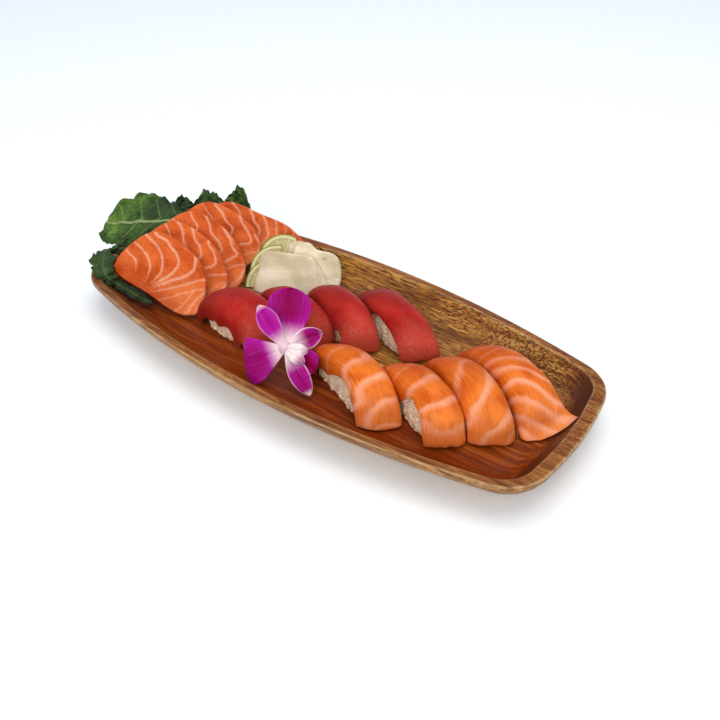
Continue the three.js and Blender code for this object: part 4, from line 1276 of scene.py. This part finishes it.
# how far behind the first, centre and radius, and how far each goes down and to the right
LIMES = [
    dict(back=0.4, centre=(16, -2), radius=20, foot=-2, limit=19),
    dict(back=3.4, centre=(19.5, 8.6), radius=20, foot=1, limit=23),
    dict(back=6.4, centre=(24.5, 18.5), radius=18, foot=5, limit=34),
]
for number, wheel in enumerate(LIMES, 1):
    centre, radius = np.array(wheel["centre"]), wheel["radius"]
    angles = np.linspace(0, 2 * math.pi, 240, endpoint=False)
    cut = centre + radius * np.stack([np.cos(angles), np.sin(angles)], -1)
    cut[:, 0] = np.minimum(cut[:, 0], wheel["limit"])
    cut[:, 1] = np.maximum(cut[:, 1], wheel["foot"])
    flat, faces = cut_slab(cut, LIME["thickness"], 60, 0.975)
    away = flat[:, :2] - centre
    from_rind = radius - np.linalg.norm(away, axis=1)
    angle = np.arctan2(away[:, 1], away[:, 0]) / (2 * math.pi) * LIME["wedges"]
    wedge = np.abs(angle - np.round(angle)) * np.linalg.norm(away, axis=1) / radius
    flesh = flat.copy()
    # the flesh lies a little lower than the rind
    flat[:, 2] -= wheel["back"] + 0.25 * smooth_step(2.5, 4, from_rind) * (flat[:, 2] > -1)
    placed = lean_on(flat, LIME["corner"], LIME["turn"], 0, LIME["lean"])
    marks = {"flesh": flesh, "from_rind": from_rind, "wedge": wedge}
    name, nodes = f"lime_wheel_{number}", [f"lime_slice_{number}"]
    make_piece(name, placed, faces, cut_lime, nodes, marks)

# %% [markdown]
# ## Kale
# A kale leaf is a thin tough blade that puckers between its veins and frills along its margin,
# because the margin grows longer than the middle. The blade follows a rib, its waves grow
# towards the edge, and its margin is cut into lobes with ragged ends. The mesh keeps where the
# pale rib and side veins run, and the finish adds puckers, a faint bloom, and a darker green
# that changes from one end of each leaf to the other.

# %% Kale finish
kale_blade, tree = start_finish(
    "kale_blade",
    {
        "Subsurface Weight": 0.12,
        "Subsurface Radius": (0.4, 1.0, 0.2),
        "Subsurface Scale": 0.001,
        "IOR": 1.42,
        "Specular IOR Level": 0.28,
        "Sheen Weight": 0.03,
    },
)
vein = add_node(tree, "Attribute", attribute_name="vein").outputs["Fac"]
leaf_place = add_node(tree, "Attribute", attribute_name="leaf").outputs["Vector"]
puckers, patches = grow_patterns(tree, leaf_place, (2.2, 2.2, 2.2, 3), (14, 14, 14, 2))
tone = add_node(tree, "Mix", {"Factor": 0.45, "A": patches, "B": puckers}, data_type="FLOAT")
green = add_node(
    tree, "ValToRGB", {"Fac": tone}, stops=[(0.36, "#22390f"), (0.5, "#42641e"), (0.66, "#678c32")]
)
height = add_node(tree, "Math", {0: puckers, 1: vein}, operation="SUBTRACT")
coats = [("frill", "#1b2f1b"), (vein, "#8c9c66")]
end_finish(kale_blade, green, coats, (puckers, 0.38, 0.62), (height, 0.4, 0.0006))

# %% Measures of the kale
LEAF_THICKNESS = 0.9
# A leaf's rib, and its reach from the rib to the margin at each place along it. Then how high
# its margin waves, how often; lobes and how deep they are cut, how full their ends are; how
# high its frills are and how wide each curls; how ragged the margin is; side veins, how clear
# they are, and where the rib shows; how dark its two ends are; height and size of its puckers.
KALE = [
    dict(
        name="kale_leaf",
        rib=[(-159, 25, 39), (-180, 8, 38), (-201, -9.5, 36)],
        reach=[(-4, 12, 5.5), (-5.8, 20, 11), (-7.6, 26.8, 16.5)],
        ruffle=2.5, waves=5, lobes=(4, 0.08), fullness=2, frills=0.8, curl=12, ragged=0.015,
        veins=4, veiny=1.0, rib_at=(-5, -1.5), dark=(0.75, 0.0), puckers=(1.3, 13),
    ),
    dict(
        name="kale_leaf_rear",
        rib=[(-178, 30, 36), (-168, 48, 35), (-152, 66, 34), (-133, 75, 34)],
        reach=[(-3, 4, 9), (-3, 4, 9), (-3, 4, 9), (-5, 5, 29)],
        ruffle=3, waves=6, lobes=(3, 0.85), fullness=0.9, frills=2.8, curl=5, ragged=0.22,
        veins=9, veiny=0.15, rib_at=(0, 0), dark=(0.75, 0.4), puckers=(0.5, 6),
    ),
    dict(
        name="kale_leaf_front",
        rib=[(-161.5, -18, 33), (-171.5, -33.5, 34), (-164, -44.5, 32), (-156, -49.5, 27),
             (-150, -46, 20.5), (-133, -45.5, 18), (-119, -43.5, 15.5)],
        reach=[(-6, 6, 10), (6, 7, 3), (8, 6.3, 1), (5, 5, 2), (1, 4, 2), (1, 4, 2.5), (1, 4, 2.5)],
        ruffle=2, waves=9, lobes=(8, 0.3), fullness=1.2, frills=2.4, curl=5, ragged=0.16,
        veins=12, veiny=0.12, rib_at=(0, 0), dark=(0.6, 0.85), puckers=(0.5, 6),
    ),
]
print("kale:", ", ".join(leaf["name"] for leaf in KALE))

# %% Blades of the leaves
for leaf in KALE:
    along, across = np.meshgrid(np.linspace(0, 1, 201), np.linspace(-1, 1, 65), indexing="ij")
    middle = curve(leaf["rib"], along)
    before, after = (curve(leaf["rib"], np.clip(along + step, 0, 1)) for step in (-0.01, 0.01))
    ahead = after - before
    ahead /= np.linalg.norm(ahead, axis=-1, keepdims=True)
    reach = curve(leaf["reach"], along)
    length = np.linalg.norm(np.diff(np.array(leaf["rib"]), axis=0), axis=1).sum()
    half_width = np.linalg.norm(reach, axis=-1)
    u_mm, v_mm = along * length, across * half_width
    side_veins = leaf["veins"]  # it also seeds the leaf's own unevenness

    # the blade: narrower at both ends, cut into lobes and torn a little at its margin
    taper = np.sin(math.pi * (0.12 + 0.81 * along)) ** 0.6
    count, depth = leaf["lobes"]
    lobe = 1 - depth + depth * np.abs(np.sin(math.pi * count * along)) ** leaf["fullness"]
    tears = unevenness(u_mm, 9 * np.sign(across), 3.4, side_veins)
    ragged = 1 + leaf["ragged"] * tears * across**2
    point = middle + reach * (across * taper * lobe * ragged)[..., None]
    normal = np.cross(ahead, reach)
    normal /= np.linalg.norm(normal, axis=-1, keepdims=True)
    wave = leaf["ruffle"] * across**2 * np.sin(2 * math.pi * leaf["waves"] * along + 1.3 * across)
    curl = unevenness(u_mm, 0.6 * v_mm, leaf["curl"], side_veins + 1)
    wave = wave + leaf["frills"] * np.abs(across) ** 1.5 * curl

    # side veins leave the rib at a slant, and the blade domes up between them
    slanted = (along - 0.22 * np.abs(across)) * side_veins
    from_vein = np.abs(slanted - np.round(slanted)) * length / side_veins
    rib_v = np.interp(along, (0, 1), leaf["rib_at"])
    vein = np.maximum(
        smooth_step(1.7, 0.6, np.abs(v_mm - rib_v)),
        0.45 * smooth_step(0.7, 0.15, from_vein) * smooth_step(1, 0.5, np.abs(across)),
    )
    dome = 0.5 * smooth_step(0, 0.5 * length / side_veins, from_vein)
    bulge, bulge_size = leaf["puckers"]
    dome = dome + bulge * unevenness(u_mm, v_mm, bulge_size, side_veins) * (1 - across**2)
    dome = dome + 0.25 * unevenness(u_mm, v_mm, 5, side_veins)

    # two surfaces that meet at the margin, and never below the platter
    centre = point + normal * (wave + dome)[..., None]
    lowest = well_height(centre[..., 0], centre[..., 1]) + LEAF_THICKNESS
    centre[..., 2] = np.maximum(centre[..., 2], lowest)
    edge_soft = (1 - np.abs(across) ** 40) ** 0.5 * (1 - np.abs(2 * along - 1) ** 90) ** 0.5
    half = normal * (LEAF_THICKNESS / 2 * edge_soft)[..., None]
    points, faces = sheet(centre + half, centre - half)
    from_dark, to_dark = leaf["dark"]
    marks = on_both(
        leaf=np.stack([u_mm, v_mm, np.full_like(u_mm, 60.0 * side_veins)], -1),
        vein=leaf["veiny"] * vein,
        frill=from_dark + (to_dark - from_dark) * smooth_step(0.2, 0.8, along),
    )
    make_piece(leaf["name"] + "_blade", points, faces, kale_blade, [leaf["name"]], marks)

# %% [markdown]
# ## Orchid
# The flower is a dendrobium: two broad petals, three narrow sepals with pale rims and a small
# dark lip round a white column, with two pale folds beside the column. Petals have no even
# thickness or curve. Each one is a sheet from the heart of the flower to its tip, with a crease
# along its middle and a slight wave at its edge. Its colour runs from white at the base to
# magenta, in fine lines along the petal.

# %% Orchid finish
petal_skin, tree = start_finish(
    "petal_skin",
    {
        "Subsurface Weight": 0.15,
        "Subsurface Radius": (1.0, 0.2, 0.8),
        "Subsurface Scale": 0.0012,
        "IOR": 1.4,
        "Specular IOR Level": 0.08,
    },
)
petal = add_node(tree, "Attribute", attribute_name="petal").outputs["Vector"]
pale = add_node(tree, "Attribute", attribute_name="pale").outputs["Fac"]
streaks, papillae = grow_patterns(tree, petal, (12, 0.8, 5, 3), (0.5, 0.5, 0.5, 2))
stops = [(0.25, "#9e0a86"), (0.5, "#ae1499"), (0.75, "#bd2fb0")]
magenta = add_node(tree, "ValToRGB", {"Fac": streaks}, stops=stops)
faded = add_node(tree, "Math", {0: streaks, 1: 0.14, 2: -0.08}, operation="MULTIPLY_ADD")
fade = add_node(tree, "Math", {0: pale, 1: faded}, operation="ADD", use_clamp=True)
height = add_node(tree, "Math", {0: streaks, 1: papillae}, operation="ADD")
coats = [("deep", "#86003f"), (fade, "#f0dfdc")]
end_finish(petal_skin, magenta, coats, (papillae, 0.45, 0.65), (height, 0.2, 0.0003))

# %% Measures of the flower
# where its heart is, the way that it faces in degrees, and how thick a petal is at its base
FLOWER = {"centre": (2.8, -43.4, 33.5), "azimuth": 36, "elevation": 39, "thickness": 1.4}
# tip, width, cup and bluntness; how far up it is pale, how pale its rim and tip, how deep it is;
# and how much longer its lower half is than its upper one
PETALS = {
    "upper_petal": dict(tip=(3, 37, -8), width=27, cup=-3, blunt=0.17, pale=(0.24, 0.0, 0.0, 0.9)),
    "left_petal": dict(
        tip=(-25, -10, -3.4), width=29, cup=2, blunt=0.42, pale=(0.24, 0.0, 0.0, 0.7), lop=0.14
    ),
    "upper_sepal": dict(tip=(-16, 26, 2), width=13, cup=2, blunt=0.04, pale=(0.2, 0.3, 0.7, 0.3)),
    "right_sepal": dict(tip=(23, 10, 1), width=13, cup=-2, blunt=0.04, pale=(0.4, 0.7, 0.2, 0.8)),
    "lower_sepal": dict(tip=(16, -29, 5), width=12.5, cup=2, blunt=0.04, pale=(0.3, 0.6, 0.9, 0.6)),
    "lip": dict(tip=(19, -14, 4), width=18, cup=-3, blunt=0.2, pale=(0.3, 0.0, 0.0, 1.0)),
    "upper_fold": dict(tip=(14, -2, 6), width=8, cup=3, blunt=0.1, pale=(0.9, 0.3, 0.2, 0.4)),
    "lower_fold": dict(tip=(12, -9, 7), width=8, cup=3, blunt=0.06, pale=(0.8, 0.4, 0.2, 0.5)),
}
print("flower:", ", ".join(PETALS).replace("_", " "))

# %% Petals
parts, faces, part_marks = [], [], []
start = 0
for number, petal in enumerate(PETALS.values()):
    tip = np.array(petal["tip"], float)
    side = np.cross([0, 0, 1], tip)
    side /= np.linalg.norm(side)
    face_out = np.cross(tip, side)
    face_out /= np.linalg.norm(face_out)
    along, across = np.meshgrid(
        np.linspace(0, 1, 73) ** 0.9, np.sin(np.linspace(-1, 1, 49) * math.pi / 2), indexing="ij"
    )
    # its outline: a narrow base, a swell and an end that closes
    swell = np.sin(math.pi * along**1.3 * (1 - petal["blunt"])) ** 0.8
    half = petal["width"] / 2 * (0.12 + 0.88 * swell)
    closing = (1 - along**14) ** 0.5
    half = half * closing * (1 + 0.03 * np.sin(9 * along + number))
    reach = along * (1 + petal.get("lop", 0) * across * along**2 * closing)
    point = reach[..., None] * tip + (across * half)[..., None] * side
    # its relief: a cup, a crease along the middle and waves at the edge
    rise = petal["cup"] * (np.sin(math.pi * along) - across**2 * 0.6 * along)
    rise = rise - 0.8 * np.exp(-((across / 0.12) ** 2)) * smooth_step(0.1, 0.4, along)
    rise = rise + 0.7 * across**4 * along * np.sin(14 * along + 3 * across + 2 * number)
    thick = FLOWER["thickness"] * (0.45 + 0.55 * (1 - along)) * (1 - np.abs(across) ** 12) ** 0.5
    thick = thick * (1 - along**40) ** 0.5
    middle = point + (rise + 0.5 * FLOWER["thickness"])[..., None] * face_out
    upper, lower = (middle + (k * 0.5 * thick)[..., None] * face_out for k in (1, -1))
    points, petal_faces = sheet(upper, lower)
    # its colours
    base_pale, rim_pale, tip_pale, depth = petal["pale"]
    length = np.linalg.norm(tip)
    place = np.stack([along * length, across * half, np.full_like(along, 9.0 * number)], -1)
    pale = 1.05 * smooth_step(base_pale + 0.24, base_pale - 0.2, along)
    pale = pale + rim_pale * smooth_step(0.8, 1, np.abs(across))
    pale = np.clip(pale + tip_pale * smooth_step(0.86, 0.98, along), 0, 1)
    deep = depth * (1 - 0.85 * across**2) * smooth_step(0.25, 0.6, along + 0.02 * across)
    parts.append(points)
    faces += (petal_faces + start).tolist()
    part_marks.append(on_both(petal=place, pale=pale, deep=deep))
    start += len(points)
print("petals, sepals and folds:", start, "points")

# %% Column and flower
COLUMN = 4.5  # radius of the white column in the heart of the flower
rings = np.array(
    [
        [
            (
                COLUMN * math.sin(a) * math.cos(b) * (0.85 if a < 1.2 else 1),
                COLUMN * math.sin(a) * math.sin(b),
                COLUMN * math.cos(a) + 2.0 * math.exp(-((a / 0.7) ** 2)),
            )
            for b in np.linspace(0, 2 * math.pi, 40, endpoint=False)
        ]
        for a in np.linspace(0.08, math.pi - 0.08, 24)
    ]
)
points, column_faces = skin(rings, (0, 0, COLUMN + 2), (0, 0, -COLUMN))
parts.append(points)
faces += [tuple(start + i for i in face) for face in column_faces]
column_marks = {"pale": np.full(len(points), 0.8), "deep": np.zeros(len(points))}
part_marks.append({"petal": points, **column_marks})
flower_turn = turned(FLOWER["azimuth"], 0, 90 - FLOWER["elevation"])
placed = np.concatenate(parts) @ flower_turn.T + np.array(FLOWER["centre"])
marks = {name: np.concatenate([part[name] for part in part_marks]) for name in part_marks[0]}
make_piece("orchid", placed, faces, petal_skin, ["orchid_flower"], marks)
